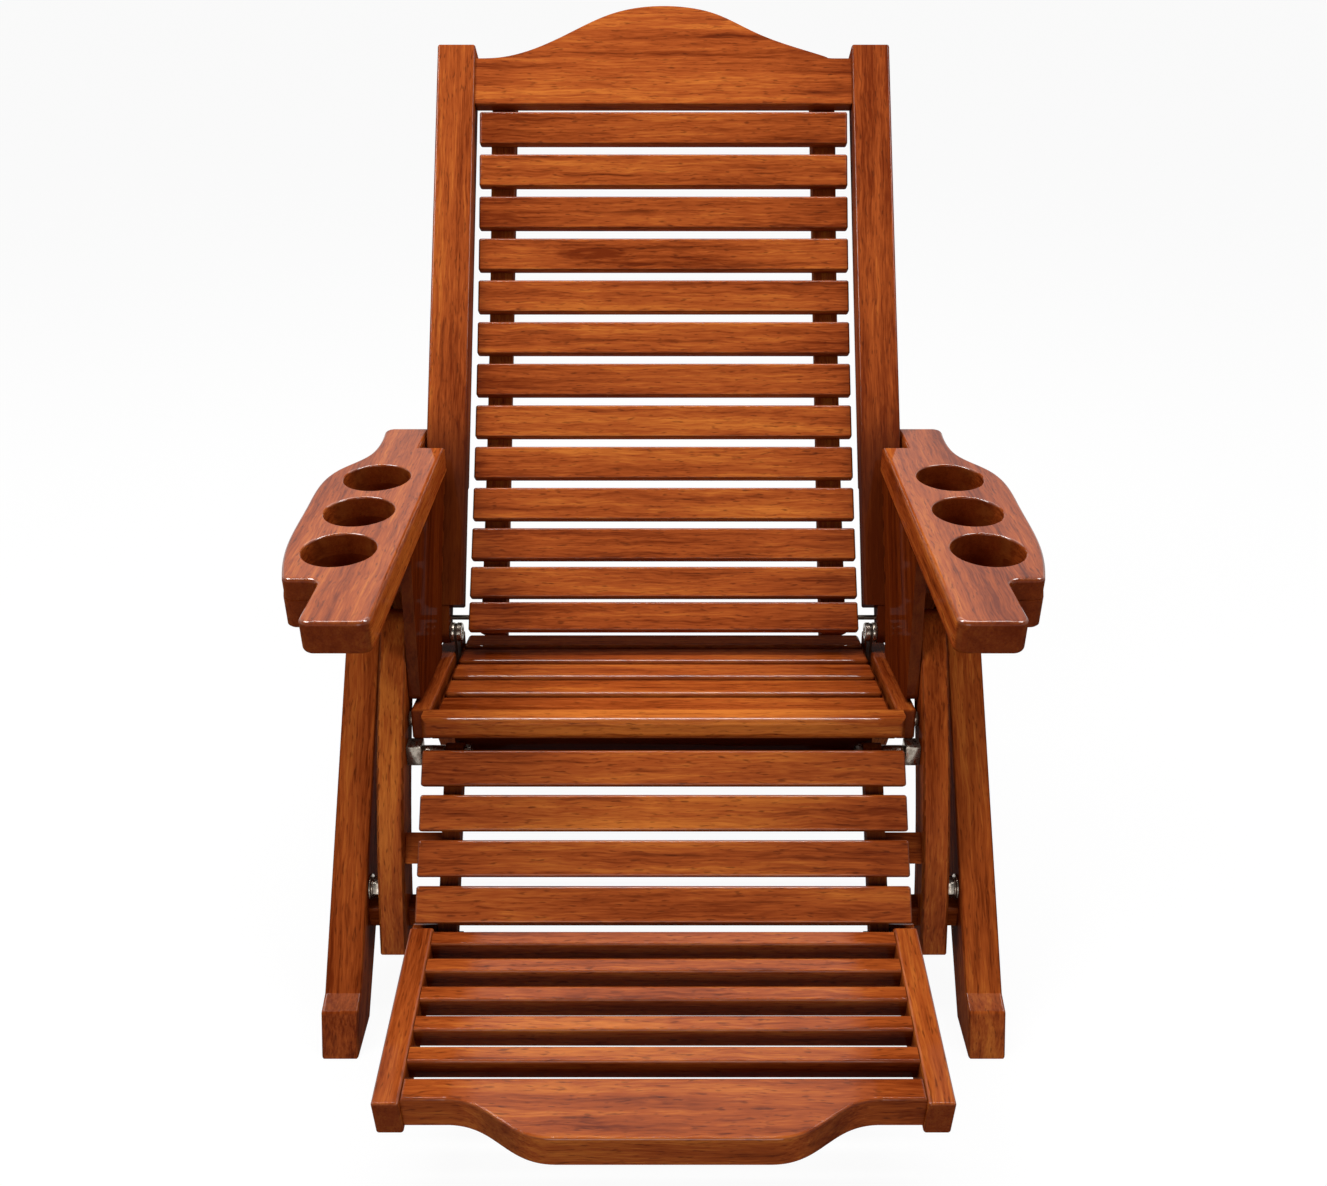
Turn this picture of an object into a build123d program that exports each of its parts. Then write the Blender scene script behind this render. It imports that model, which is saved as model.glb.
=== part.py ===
"""Reclining slatted wooden lounge chair with cup armrests and a leg rest.

X runs to the viewer's right, Y from the front of the chair to the back, Z up.
Lengths are millimetres. Stations along Y are given from the seat's front edge.
"""

import os
from math import atan2, cos, degrees, hypot, radians, sin, tan

from build123d import *

os.makedirs("parts", exist_ok=True)

SIDES = (("left", -1), ("right", 1))

# Shared values
seat_front_y = -143.45
edge_round = 3.0
bolt_r = 5.0
hole_gap = 0.05
hole_r = bolt_r + hole_gap
head_r = 9.0
head_t = 6.0
nut_t = 8.0
ring_r = 14.0
blind_hole = 0.8
blind_bolt = 0.75

# Seat
seat_z = 313.0
seat_slope = -9.65
seat_rail_x = 269.0
seat_rail_t = 22.0
seat_rail_depth = 36.0
seat_length = 250.0
seat_slat_count = 5
seat_slat_width = 40.0
seat_slat_pitch = 50.0
seat_slat_first = 10.0
seat_slat_t = 12.0
seat_slat_drop = 6.0
seat_slat_end_gap = 4.0
seat_slat_round = 5.0
cleat_width = 22.0
nosing_half = 265.0
nosing_width = 24.0
nosing_t = 26.0
nosing_round = 8.0
strap_t = 3.0
strap_w = 22.0
strap_low = 15.0
pivot_nut_r = 12.0
pivot_nut_t = 6.0
pivot_gap = 0.4

# Backrest
back_station = 176.0
back_z = 310.0
back_slope = 53.4
back_range = 24.0
stile_x = 273.0
stile_w = 50.0
stile_front = 9.0
stile_back = -25.0
stile_top = 777.0
stile_bottom = 32.0
stile_step = 185.0
stile_low_back = -19.0
tongue_x = 269.0
tongue_t = 10.0
tongue_r = 13.5
tongue_drop = -5.5
tongue_root = 20.0
arm_pivot_up = 234.0
arm_pivot_drop = -8.0
back_slat_count = 13
back_slat_end_gap = 7.0
back_slat_t = 14.0
top_slat_drop = 112.65
back_slat_close = 12.0
back_slat_width = 43.0
back_slat_narrow = 6.0
back_slat_ratio = 0.55
back_slat_turn = 1.17
back_low_up = 19.0
back_low_out = 2.0
batten_x = 212.0
batten_w = 30.0
batten_back = -46.0
crest_height = 65.0
crest_shoulder_drop = 17.0
crest_rise = 75.0
crest_front = 5.0
crest_t = 18.0
crest_lap = 66.0
crest_foot_x = 0.87
crest_foot_rise = 0.02
crest_flank_x = 0.55
crest_flank_rise = 0.40
crest_brow_x = 0.27
crest_brow_rise = 0.86
back_pin_r = 3.0
back_pin_depth = 20.0
back_pin_reach = 6.0

# Armrests
arm_top = 512.0
arm_board_t = 24.0
arm_rib_t = 12.0
arm_in = 270.0
arm_rib_w = 21.0
arm_nose_out = 338.0
arm_front = -152.0
arm_bulge_front = -67.0
arm_notch = 281.0
arm_corner = 12.0
arm_round = 5.0
nose_round = 6.0
cup_round = 2.5
arm_shoulder = 10.0
rib_set_back = 11.0
bulge_front_out = 374.0
bulge_fore = (390.0, 4.0)
bulge_mid = (395.0, 110.0)
bulge_rear = (384.0, 212.0)
waist_rear = (360.0, 252.0)
waist_end = (353.0, 290.0)
block_inset = -1.0
neck_in = 300.0
neck_out = 356.0
neck_end = 346.0
neck_front = 264.0
neck_rib_inset = 6.0
cup_x = 333.0
cup_r = 38.0
cup_first = -2.0
cup_pitch = 94.0
cup_count = 3
cup_block_t = 31.0
cup_floor = 6.0
cup_wall_in = 292.0
cup_block_rear = 256.0
rack_x = 277.75
rack_t = 12.5
rack_top_front = 44.0
rack_scallop_r = 8.0
rack_scallops = 4
rack_skin = 3.5
rack_tip_gap = 0.5
rack_seat_gap = 3.0
rack_foot_front = 16.0
rack_foot_rear = 155.0
rack_corner = 8.0
stile_clear = 8.0
slot_gap = 0.6
slot_spare = 2.0

# Legs
leg_strut_gap = 14.0
leg_t = 40.0
leg_slope = 48.4
leg_rear_slope = 43.5
leg_foot = -207.0
leg_sole = 57.5
shoe_head_at = (21.3, 46.5)
shoe_ledge_at = (42.0, 53.7)
shoe_round = 5.0
ledge_round = 2.0
leg_rest_gap = 0.5
strut_x = 300.0
strut_t = 30.0
strut_bottom = (-125.0, 70.0)
strut_top = (71.0, 373.0)
strut_top_r = 24.6
strut_round = 22.0
strut_depth = 44.0
strut_bow = 18.0
strut_slope = 61.5
lower_bolt = (-77.0, 126.0)
seat_bolt = (14.0, 292.0)
front_rail_at = (-84.0, 98.0)
front_rail_size = (26.0, 26.0)
rear_leg_x = 313.5
rear_leg_t = 27.0
rear_pivot = (164.0, 385.0)
rear_foot = 372.0
rear_leg_w = 44.0
rear_rail_z = 150.0
rear_rail_w = 50.0
rear_rail_t = 20.0

# Calf panel
calf_station = -44.0
calf_z = 266.0
calf_slope = 48.8
calf_slat_count = 4
calf_slat_pitch = 48.3
calf_slat_width = 39.0
calf_slat_end_gap = 20.0
calf_slat_t = 14.0
calf_batten_x = 232.0
calf_batten_w = 20.0
calf_batten_depth = 20.0
calf_pivot_up = 20.0
calf_ear_r = 10.0
calf_ear_gap = 0.2
calf_ring_r = 7.5
calf_sleeve_r = 12.5
calf_sleeve_gap = 2.5
calf_foot_down = 178.0
stop_near = 68.0
stop_far = 102.0
stop_depth = 26.0
stop_gap = 0.5
stop_in = 228.0
spacer_gap = 1.0

# Foot panel
foot_station = -154.5
foot_z = 140.0
foot_slope = 4.7
foot_rail_x = 256.5
foot_rail_w = 26.0
foot_rail_length = 209.0
foot_rail_t = 45.0
foot_ear_r = 13.0
foot_slat_count = 5
foot_slat_first = 5.0
foot_slat_pitch = 35.2
foot_slat_width = 18.0
foot_slat_t = 26.0
foot_board_back = 180.5
foot_board_shoulder = 204.0
foot_board_front = 243.5
foot_board_t = 41.0
foot_curve_out = 204.0
foot_curve_in = 98.0
foot_pin_in = 216.0


def panel_plane(point, slope):
    """Plane of a panel rising backwards at a slope, its normal facing the sitter."""
    tilt = radians(slope)
    normal = (0, -sin(tilt), cos(tilt))
    return Plane(origin=(0, point[0], point[1]), x_dir=(1, 0, 0), z_dir=normal)


def on_panel(point, slope, up, out):
    """Y and Z of a place given along a panel and out from its face."""
    tilt = radians(slope)
    y = point[0] + up * cos(tilt) - out * sin(tilt)
    z = point[1] + up * sin(tilt) + out * cos(tilt)
    return (y, z)


def at_seat(station):
    """Y and Z with the station counted from the seat's front edge."""
    return (seat_front_y + station[0], station[1])


def rod(axis, sign, start, end, radius, mode=Mode.ADD):
    """Add or cut a round bar along X about an axis, between two distances from the middle."""
    with Locations(Location((sign * (start + end) / 2, axis[0], axis[1]), (0, 90, 0))):
        Cylinder(radius, end - start, mode=mode)


def ring(axis, sign, start, end, radius):
    """Add a spacer ring that fits round a bolt."""
    rod(axis, sign, start, end, radius)
    rod(axis, sign, start, end, hole_r, Mode.SUBTRACT)


seat_point = at_seat((0, seat_z))
back_point = at_seat((back_station, back_z))
calf_point = at_seat((calf_station, calf_z))
foot_point = at_seat((foot_station, foot_z))
back_pivot = on_panel(back_point, back_slope, 0, tongue_drop)
arm_pivot = on_panel(back_point, back_slope, arm_pivot_up, arm_pivot_drop)
calf_pivot_depth = calf_slat_t + calf_ear_r + calf_ear_gap
calf_axis = on_panel(calf_point, calf_slope, calf_pivot_up, -calf_pivot_depth)
guide_axis = at_seat(strut_top)
rear_axis = at_seat(rear_pivot)
lower_axis = at_seat(lower_bolt)
seat_bolt_axis = at_seat(seat_bolt)
calf_back = -calf_slat_t - calf_batten_depth
foot_axis = on_panel(calf_point, calf_slope, -calf_foot_down, calf_back + calf_batten_depth / 2)
cup_block_top = arm_top - arm_board_t
cup_block_bottom = cup_block_top - cup_block_t
arm_bottom = cup_block_top - arm_rib_t

strut_in = strut_x - strut_t / 2
calf_slat_half = strut_in - calf_slat_end_gap
strut_out = strut_x + strut_t / 2
leg_in = strut_out + leg_strut_gap
leg_x = leg_in + leg_t / 2
seat_rail_in = seat_rail_x - seat_rail_t / 2
seat_rail_out = seat_rail_x + seat_rail_t / 2
seat_slat_half = seat_rail_in - seat_slat_end_gap
stile_in = stile_x - stile_w / 2
stile_out = stile_x + stile_w / 2
back_slat_half = stile_in - back_slat_end_gap
back_slat_run = stile_top - top_slat_drop - back_low_up
back_close_sum = back_slat_close * (1 - back_slat_ratio ** (back_slat_count - 1)) / (1 - back_slat_ratio)
back_slat_pitch = (back_slat_run + back_close_sum) / (back_slat_count - 1)

# Seat rails, the cleats on their inner faces, the slats and the rounded nosing
seat_plane = panel_plane(seat_point, seat_slope)
for side, sign in SIDES:
    with BuildPart() as seat_rail:
        with BuildSketch(seat_plane):
            with Locations((sign * seat_rail_x, seat_length / 2)):
                Rectangle(seat_rail_t, seat_length)
        extrude(amount=-seat_rail_depth)
        fillet(seat_rail.edges(), edge_round)
        with BuildSketch(Plane.YZ.offset(sign * seat_rail_out)):
            with Locations(seat_bolt_axis):
                Circle(hole_r)
        extrude(amount=-sign * seat_rail_t * blind_hole, mode=Mode.SUBTRACT)
    seat_rail.part.label = f"seat_rail_{side}"
    export_step(seat_rail.part, f"parts/seat_rail_{side}.step")

    with BuildPart() as seat_cleat:
        with BuildSketch(seat_plane.offset(-seat_slat_drop - seat_slat_t)):
            with Locations((sign * (seat_rail_in - cleat_width / 2), seat_length / 2)):
                Rectangle(cleat_width, seat_length)
        extrude(amount=-(seat_rail_depth - seat_slat_drop - seat_slat_t))
        chamfer(seat_cleat.edges().filter_by(Axis.X), edge_round / 2)
    seat_cleat.part.label = f"seat_cleat_{side}"
    export_step(seat_cleat.part, f"parts/seat_cleat_{side}.step")

with BuildPart() as seat_slats:
    with BuildSketch(seat_plane.offset(-seat_slat_drop)):
        for index in range(seat_slat_count):
            with Locations((0, seat_slat_first + seat_slat_width / 2 + index * seat_slat_pitch)):
                Rectangle(2 * seat_slat_half, seat_slat_width)
    extrude(amount=-seat_slat_t)
    fillet(seat_slats.edges(), seat_slat_round)
seat_slats.part.label = "seat_slats"
export_step(seat_slats.part, "parts/seat_slats.step")

with BuildPart() as seat_nosing:
    with BuildSketch(seat_plane):
        with Locations((0, -nosing_width / 2)):
            Rectangle(2 * nosing_half, nosing_width)
    extrude(amount=-nosing_t)
    fillet(seat_nosing.faces().sort_by(Axis.Y)[0].edges(), nosing_round)
seat_nosing.part.label = "seat_nosing"
export_step(seat_nosing.part, "parts/seat_nosing.step")

# Steel straps that lift the back pivot above each seat rail
strap_foot = on_panel(seat_point, seat_slope, 0, -strap_low)
seat_fall = (back_pivot[0] - seat_point[0]) * sin(radians(-seat_slope))
drop = back_pivot[1] - strap_foot[1] + seat_fall
with BuildPart() as hinge_straps:
    for side, sign in SIDES:
        for face_x in (seat_rail_in - strap_t / 2, seat_rail_out + strap_t / 2):
            with BuildSketch(Plane.YZ.offset(sign * face_x)):
                with Locations(back_pivot):
                    Circle(strap_w / 2)
                with Locations((back_pivot[0], back_pivot[1] - drop / 2)):
                    Rectangle(strap_w, drop)
                with Locations(back_pivot):
                    Circle(hole_r, mode=Mode.SUBTRACT)
            extrude(amount=strap_t / 2, both=True)
hinge_straps.part.label = "hinge_straps"
export_step(hinge_straps.part, "parts/hinge_straps.step")

# Front legs with their coved shoes
leg_run = radians(leg_slope)
leg_up = (cos(leg_run), sin(leg_run))
leg_top = cup_block_bottom - leg_rest_gap
leg_shift = leg_up[0] / leg_up[1]
shoe_toe = at_seat((leg_foot, 0))
shoe_head = (shoe_toe[0] + shoe_head_at[0], shoe_head_at[1])
shoe_ledge = (shoe_toe[0] + shoe_ledge_at[0], shoe_ledge_at[1])
leg_front_top = (shoe_ledge[0] + (leg_top - shoe_ledge[1]) * leg_shift, leg_top)
leg_heel = (shoe_toe[0] + leg_sole, 0)
leg_back_top = (leg_heel[0] + leg_top / tan(radians(leg_rear_slope)), leg_top)
for side, sign in SIDES:
    with BuildPart() as front_leg:
        with BuildSketch(Plane.YZ.offset(sign * leg_x)):
            with BuildLine():
                Polyline(
                    shoe_toe,
                    shoe_head,
                    shoe_ledge,
                    leg_front_top,
                    leg_back_top,
                    leg_heel,
                    close=True,
                )
            make_face()
            fillet(vertices().sort_by_distance(shoe_head)[0], shoe_round)
            fillet(vertices().sort_by_distance(shoe_ledge)[0], ledge_round)
        extrude(amount=leg_t / 2, both=True)
        fillet(front_leg.faces().sort_by(Axis.X)[0].edges(), edge_round)
        fillet(front_leg.faces().sort_by(Axis.X)[-1].edges(), edge_round)
        with BuildSketch(Plane.YZ.offset(sign * leg_in)):
            with Locations(lower_axis, rear_axis):
                Circle(hole_r)
        extrude(amount=sign * leg_t * blind_hole, mode=Mode.SUBTRACT)
    front_leg.part.label = f"front_leg_{side}"
    export_step(front_leg.part, f"parts/front_leg_{side}.step")

# Bowed struts bolted inside the front legs
strut_low = at_seat(strut_bottom)
strut_lean = radians(strut_slope)
strut_up = (cos(strut_lean), sin(strut_lean))
strut_out_dir = (-sin(strut_lean), cos(strut_lean))


def strut_place(up, out):
    """Y and Z on a strut, measured up its length and out from its front edge."""
    y = strut_low[0] + up * strut_up[0] + out * strut_out_dir[0]
    z = strut_low[1] + up * strut_up[1] + out * strut_out_dir[1]
    return (y, z)


guide_run = guide_axis[0] - strut_low[0]
guide_rise = guide_axis[1] - strut_low[1]
strut_reach = guide_run * strut_up[0] + guide_rise * strut_up[1]
strut_face = guide_run * strut_out_dir[0] + guide_rise * strut_out_dir[1]
for side, sign in SIDES:
    with BuildPart() as strut:
        with BuildSketch(Plane.YZ.offset(sign * strut_x)):
            with BuildLine():
                front_low = strut_place(0, 0)
                front_high = strut_place(strut_reach + strut_top_r, strut_face + strut_top_r)
                back_high = strut_place(strut_reach + strut_top_r, strut_face - strut_top_r)
                back_low = strut_place(0, -strut_depth)
                ThreePointArc(front_low, strut_place(strut_reach / 2, strut_bow), front_high)
                Line(front_high, back_high)
                ThreePointArc(back_high, strut_place(strut_reach / 2, strut_bow - strut_depth), back_low)
                Line(back_low, front_low)
            make_face()
            for corner in (front_high, back_high):
                fillet(vertices().sort_by_distance(corner)[0], strut_round)
        extrude(amount=strut_t / 2, both=True)
        for axis in (guide_axis, calf_axis, seat_bolt_axis):
            rod(axis, sign, strut_in, strut_in + strut_t * blind_hole, hole_r, Mode.SUBTRACT)
        rod(lower_axis, sign, strut_out - strut_t * blind_hole, strut_out, hole_r, Mode.SUBTRACT)
        fillet(strut.faces().sort_by(Axis.X)[0].outer_wire().edges(), edge_round)
        fillet(strut.faces().sort_by(Axis.X)[-1].outer_wire().edges(), edge_round)
    strut.part.label = f"strut_{side}"
    export_step(strut.part, f"parts/strut_{side}.step")

# Rail between the struts, spacers to the legs and the stops behind the calf panel
front_rail_point = at_seat(front_rail_at)
with BuildPart() as front_rail:
    with BuildSketch(Plane.YZ):
        with Locations(front_rail_point):
            RectangleRounded(front_rail_size[0], front_rail_size[1], edge_round)
    extrude(amount=strut_in, both=True)
front_rail.part.label = "front_rail"
export_step(front_rail.part, "parts/front_rail.step")

with BuildPart() as leg_spacers:
    for side, sign in SIDES:
        with BuildSketch(Plane.YZ.offset(sign * strut_out)):
            with Locations(front_rail_point):
                RectangleRounded(front_rail_size[0], front_rail_size[1], edge_round)
        extrude(amount=sign * (leg_in - strut_out))
leg_spacers.part.label = "leg_spacers"
export_step(leg_spacers.part, "parts/leg_spacers.step")

with BuildPart() as calf_stops:
    for side, sign in SIDES:
        with BuildSketch(panel_plane(calf_point, calf_slope).offset(calf_back - stop_gap)):
            with Locations((sign * (stop_in + strut_in) / 2, -(stop_near + stop_far) / 2)):
                RectangleRounded(strut_in - stop_in, stop_far - stop_near, edge_round / 2)
        extrude(amount=-stop_depth)
calf_stops.part.label = "calf_stops"
export_step(calf_stops.part, "parts/calf_stops.step")

# Places of the back slats along a hollow curve, closer together towards the seat
slat_frames = []
slat_place = on_panel(back_point, back_slope, back_low_up, back_low_out)
mid_slat = (back_slat_count - 1) / 2
for index in range(back_slat_count):
    slat_slope = back_slope + (index - mid_slat) * back_slat_turn
    shrink = back_slat_ratio**index
    slat_frames.append((slat_place, slat_slope, back_slat_width - back_slat_narrow * shrink))
    step_slope = slat_slope + back_slat_turn / 2
    slat_place = on_panel(slat_place, step_slope, back_slat_pitch - back_slat_close * shrink, 0)

pin_axis = on_panel(slat_frames[0][0], slat_frames[0][1], 0, -back_slat_t / 2)
pin_hole_r = back_pin_r + hole_gap

# Backrest stiles, each with a pivot tongue
back_plane = panel_plane(back_point, back_slope)
for side, sign in SIDES:
    with BuildPart() as stile:
        with BuildSketch(Plane.YZ.offset(sign * stile_x)):
            with BuildLine():
                Polyline(
                    on_panel(back_point, back_slope, stile_bottom, stile_front),
                    on_panel(back_point, back_slope, stile_top, stile_front),
                    on_panel(back_point, back_slope, stile_top, stile_back),
                    on_panel(back_point, back_slope, stile_step, stile_back),
                    on_panel(back_point, back_slope, stile_step, stile_low_back),
                    on_panel(back_point, back_slope, stile_bottom, stile_low_back),
                    close=True,
                )
            make_face()
        extrude(amount=stile_w / 2, both=True)
        fillet(stile.faces().sort_by(Axis.X)[0].edges(), edge_round)
        fillet(stile.faces().sort_by(Axis.X)[-1].edges(), edge_round)
        with BuildSketch(Plane.YZ.offset(sign * tongue_x)):
            with BuildLine():
                Polyline(
                    on_panel(back_point, back_slope, 0, tongue_drop + tongue_r),
                    on_panel(back_point, back_slope, stile_bottom + tongue_root, tongue_drop + tongue_r),
                    on_panel(back_point, back_slope, stile_bottom + tongue_root, tongue_drop - tongue_r),
                    on_panel(back_point, back_slope, 0, tongue_drop - tongue_r),
                    close=True,
                )
            make_face()
            with Locations(back_pivot):
                Circle(tongue_r)
        extrude(amount=tongue_t / 2, both=True)
        with BuildSketch(Plane.YZ.offset(sign * tongue_x)):
            with Locations(back_pivot):
                Circle(hole_r)
        extrude(amount=tongue_t, both=True, mode=Mode.SUBTRACT)
        with BuildSketch(Plane.YZ.offset(sign * (tongue_x - tongue_t / 2))):
            with Locations(pin_axis):
                Circle(pin_hole_r)
        extrude(amount=sign * tongue_t * blind_hole, mode=Mode.SUBTRACT)
        with BuildSketch(Plane.YZ.offset(sign * stile_out)):
            with Locations(arm_pivot):
                Circle(hole_r)
        extrude(amount=-sign * stile_w * blind_hole, mode=Mode.SUBTRACT)
    stile.part.label = f"stile_{side}"
    export_step(stile.part, f"parts/stile_{side}.step")

# Crest rail with its hump
crest_half = stile_in
crest_shoulder = stile_top - crest_shoulder_drop
crest_low = crest_shoulder - crest_height
crest_top = crest_shoulder + crest_rise
crest_foot = (crest_foot_x * crest_half, crest_shoulder + crest_foot_rise * crest_rise)
crest_flank = (crest_flank_x * crest_half, crest_shoulder + crest_flank_rise * crest_rise)
crest_brow = (crest_brow_x * crest_half, crest_shoulder + crest_brow_rise * crest_rise)
with BuildPart() as crest_rail:
    with BuildSketch(back_plane.offset(crest_front)):
        with BuildLine():
            Spline(
                (-crest_half, crest_shoulder),
                (-crest_foot[0], crest_foot[1]),
                (-crest_flank[0], crest_flank[1]),
                (-crest_brow[0], crest_brow[1]),
                (0, crest_top),
                crest_brow,
                crest_flank,
                crest_foot,
                (crest_half, crest_shoulder),
                tangents=((1, 0), (1, 0)),
            )
            Line((crest_half, crest_shoulder), (crest_half, crest_low))
            Line((crest_half, crest_low), (-crest_half, crest_low))
            Line((-crest_half, crest_low), (-crest_half, crest_shoulder))
        make_face()
    extrude(amount=-crest_t)
    crest_edges = crest_rail.faces().sort_by(Axis.Y)[0].edges()
    fillet(crest_edges.filter_by(Axis.Z, reverse=True), edge_round)
crest_rail.part.label = "crest_rail"
export_step(crest_rail.part, "parts/crest_rail.step")

# Back slats
batten_edge = []
for index, (place, slope, width) in enumerate(slat_frames):
    with BuildPart() as back_slat:
        with BuildSketch(panel_plane(place, slope)):
            Rectangle(2 * back_slat_half, width)
        extrude(amount=-back_slat_t)
        fillet(back_slat.edges(), edge_round)
        if index == 0:
            for side, sign in SIDES:
                pin_start = back_slat_half - back_pin_depth
                rod(pin_axis, sign, pin_start, back_slat_half, pin_hole_r, Mode.SUBTRACT)
    back_slat.part.label = f"back_slat_{index + 1}"
    export_step(back_slat.part, f"parts/back_slat_{index + 1}.step")
    batten_edge.append(on_panel(place, slope, -width / 2, -back_slat_t))
    batten_edge.append(on_panel(place, slope, width / 2, -back_slat_t))

# Curved battens behind the slats, lapped behind the crest rail
batten_edge.append(on_panel(back_point, back_slope, crest_low, crest_front - crest_t))
batten_edge.append(on_panel(back_point, back_slope, crest_low + crest_lap, crest_front - crest_t))
batten_edge.append(on_panel(back_point, back_slope, crest_low + crest_lap, batten_back))
batten_edge.append(on_panel(back_point, back_slope, 0, batten_back))
for side, sign in SIDES:
    with BuildPart() as back_batten:
        with BuildSketch(Plane.YZ.offset(sign * batten_x)):
            with BuildLine():
                Polyline(*batten_edge, close=True)
            make_face()
        extrude(amount=batten_w / 2, both=True)
    back_batten.part.label = f"back_batten_{side}"
    export_step(back_batten.part, f"parts/back_batten_{side}.step")

# Armrest boards, cup blocks and the slotted racks below them
arm_top_plane = Plane.XY.offset(arm_top)
arm_reach = (arm_pivot[0] - back_pivot[0], arm_pivot[1] - back_pivot[1])
arm_swing = hypot(*arm_reach)
arm_angle = degrees(atan2(arm_reach[1], arm_reach[0]))
slot_centre = (guide_axis[0] + arm_reach[0], guide_axis[1] + arm_reach[1])
half_turn = 180.0
slot_half = bolt_r + slot_gap
slot_cap = degrees(slot_half / arm_swing)
neck_rib_w = neck_out - neck_in - neck_rib_inset
neck_rib_x = neck_in + neck_rib_w / 2
rack_out = rack_x + rack_t / 2
rack_front_foot = on_panel(seat_point, seat_slope, rack_foot_front, rack_seat_gap)
rack_rear_foot = on_panel(seat_point, seat_slope, rack_foot_rear, rack_seat_gap)
rear_low = on_panel(back_point, back_slope, stile_bottom, stile_front + stile_clear)
rear_rise = (arm_bottom - rear_low[1]) / sin(radians(back_slope))
rear_high = on_panel(rear_low, back_slope, rear_rise, 0)


def slot_place(turn, out):
    """Y and Z beside the guide bolt's path through the rack after a given turn."""
    angle = radians(arm_angle + half_turn + turn)
    y = slot_centre[0] + (arm_swing + out) * cos(angle)
    z = slot_centre[1] + (arm_swing + out) * sin(angle)
    return (y, z)


for side, sign in SIDES:
    y = seat_front_y
    shoulder_out = (sign * bulge_front_out, y + arm_bulge_front)
    shoulder_in = (sign * arm_nose_out, y + arm_bulge_front)
    nose_out = (sign * arm_nose_out, y + arm_front)
    nose_in = (sign * arm_in, y + arm_front)
    neck_corner = (sign * neck_out, y + neck_end)
    rib_front = y + arm_bulge_front - rib_set_back
    block_nose = (sign * (bulge_front_out - block_inset), y + arm_bulge_front + block_inset)
    block_corner = (sign * waist_rear[0], y + cup_block_rear)
    with BuildPart() as arm_board:
        with BuildSketch(arm_top_plane):
            with BuildLine():
                Polyline(
                    shoulder_out,
                    shoulder_in,
                    nose_out,
                    nose_in,
                    (sign * arm_in, y + arm_notch),
                    (sign * neck_in, y + arm_notch),
                    (sign * neck_in, y + neck_end),
                    neck_corner,
                )
                Spline(
                    neck_corner,
                    (sign * waist_end[0], y + waist_end[1]),
                    (sign * waist_rear[0], y + waist_rear[1]),
                    (sign * bulge_rear[0], y + bulge_rear[1]),
                    (sign * bulge_mid[0], y + bulge_mid[1]),
                    (sign * bulge_fore[0], y + bulge_fore[1]),
                    shoulder_out,
                )
            make_face()
            fillet(vertices().sort_by_distance(shoulder_out)[0], arm_shoulder)
            fillet(vertices().sort_by_distance(shoulder_in)[0], arm_shoulder)
            fillet(vertices().sort_by_distance(nose_out)[0], arm_corner)
            fillet(vertices().sort_by_distance(nose_in)[0], arm_corner)
            fillet(vertices().sort_by_distance(neck_corner)[0], arm_corner)
        extrude(amount=-arm_board_t)
        with BuildSketch(arm_top_plane.offset(-arm_board_t)):
            with BuildLine():
                Polyline(
                    nose_in,
                    nose_out,
                    (sign * arm_nose_out, rib_front),
                    (sign * (arm_in + arm_rib_w), rib_front),
                    (sign * (arm_in + arm_rib_w), y + arm_notch),
                    (sign * arm_in, y + arm_notch),
                    close=True,
                )
            make_face()
            fillet(vertices().sort_by_distance(nose_out)[0], arm_corner)
            fillet(vertices().sort_by_distance(nose_in)[0], arm_corner)
        extrude(amount=-arm_rib_t)
        with BuildSketch(arm_top_plane.offset(-arm_board_t)):
            with Locations((sign * neck_rib_x, y + (neck_front + neck_end) / 2)):
                Rectangle(neck_rib_w, neck_end - neck_front)
        extrude(amount=-arm_rib_t)
        fillet(arm_board.faces().sort_by(Axis.Z)[-1].edges(), arm_round)
        fillet(arm_board.edges().group_by(Axis.Z)[0].sort_by(Axis.Y)[0], nose_round)
        with BuildSketch(arm_top_plane):
            with Locations((sign * cup_x, y + cup_first + cup_pitch)):
                with GridLocations(cup_r, cup_pitch, 1, cup_count):
                    Circle(cup_r)
        extrude(amount=-arm_board_t, mode=Mode.SUBTRACT)
        top_edges = arm_board.faces().sort_by(Axis.Z)[-1].edges()
        fillet(top_edges.filter_by(GeomType.CIRCLE).sort_by(SortBy.RADIUS)[-cup_count:], cup_round)
        with BuildSketch(Plane.YZ.offset(sign * neck_in)):
            with Locations(arm_pivot):
                Circle(hole_r)
        extrude(amount=sign * (neck_out - neck_in) * blind_hole, mode=Mode.SUBTRACT)
    arm_board.part.label = f"arm_board_{side}"
    export_step(arm_board.part, f"parts/arm_board_{side}.step")

    with BuildPart() as cup_block:
        with BuildSketch(Plane.XY.offset(cup_block_top)):
            with BuildLine():
                Spline(
                    block_corner,
                    (sign * (bulge_rear[0] - block_inset), y + bulge_rear[1]),
                    (sign * (bulge_mid[0] - block_inset), y + bulge_mid[1]),
                    (sign * (bulge_fore[0] - block_inset), y + bulge_fore[1]),
                    block_nose,
                )
                Polyline(
                    block_nose,
                    (sign * cup_wall_in, block_nose[1]),
                    (sign * cup_wall_in, block_corner[1]),
                    block_corner,
                )
            make_face()
            fillet(vertices().sort_by_distance(block_nose)[0], arm_corner)
        extrude(amount=-cup_block_t)
        chamfer(cup_block.faces().sort_by(Axis.Z)[0].edges(), edge_round / 2)
        with BuildSketch(Plane.XY.offset(cup_block_top)):
            with Locations((sign * cup_x, y + cup_first + cup_pitch)):
                with GridLocations(cup_r, cup_pitch, 1, cup_count):
                    Circle(cup_r)
        extrude(amount=cup_floor - cup_block_t, mode=Mode.SUBTRACT)
    cup_block.part.label = f"cup_block_{side}"
    export_step(cup_block.part, f"parts/cup_block_{side}.step")

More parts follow.
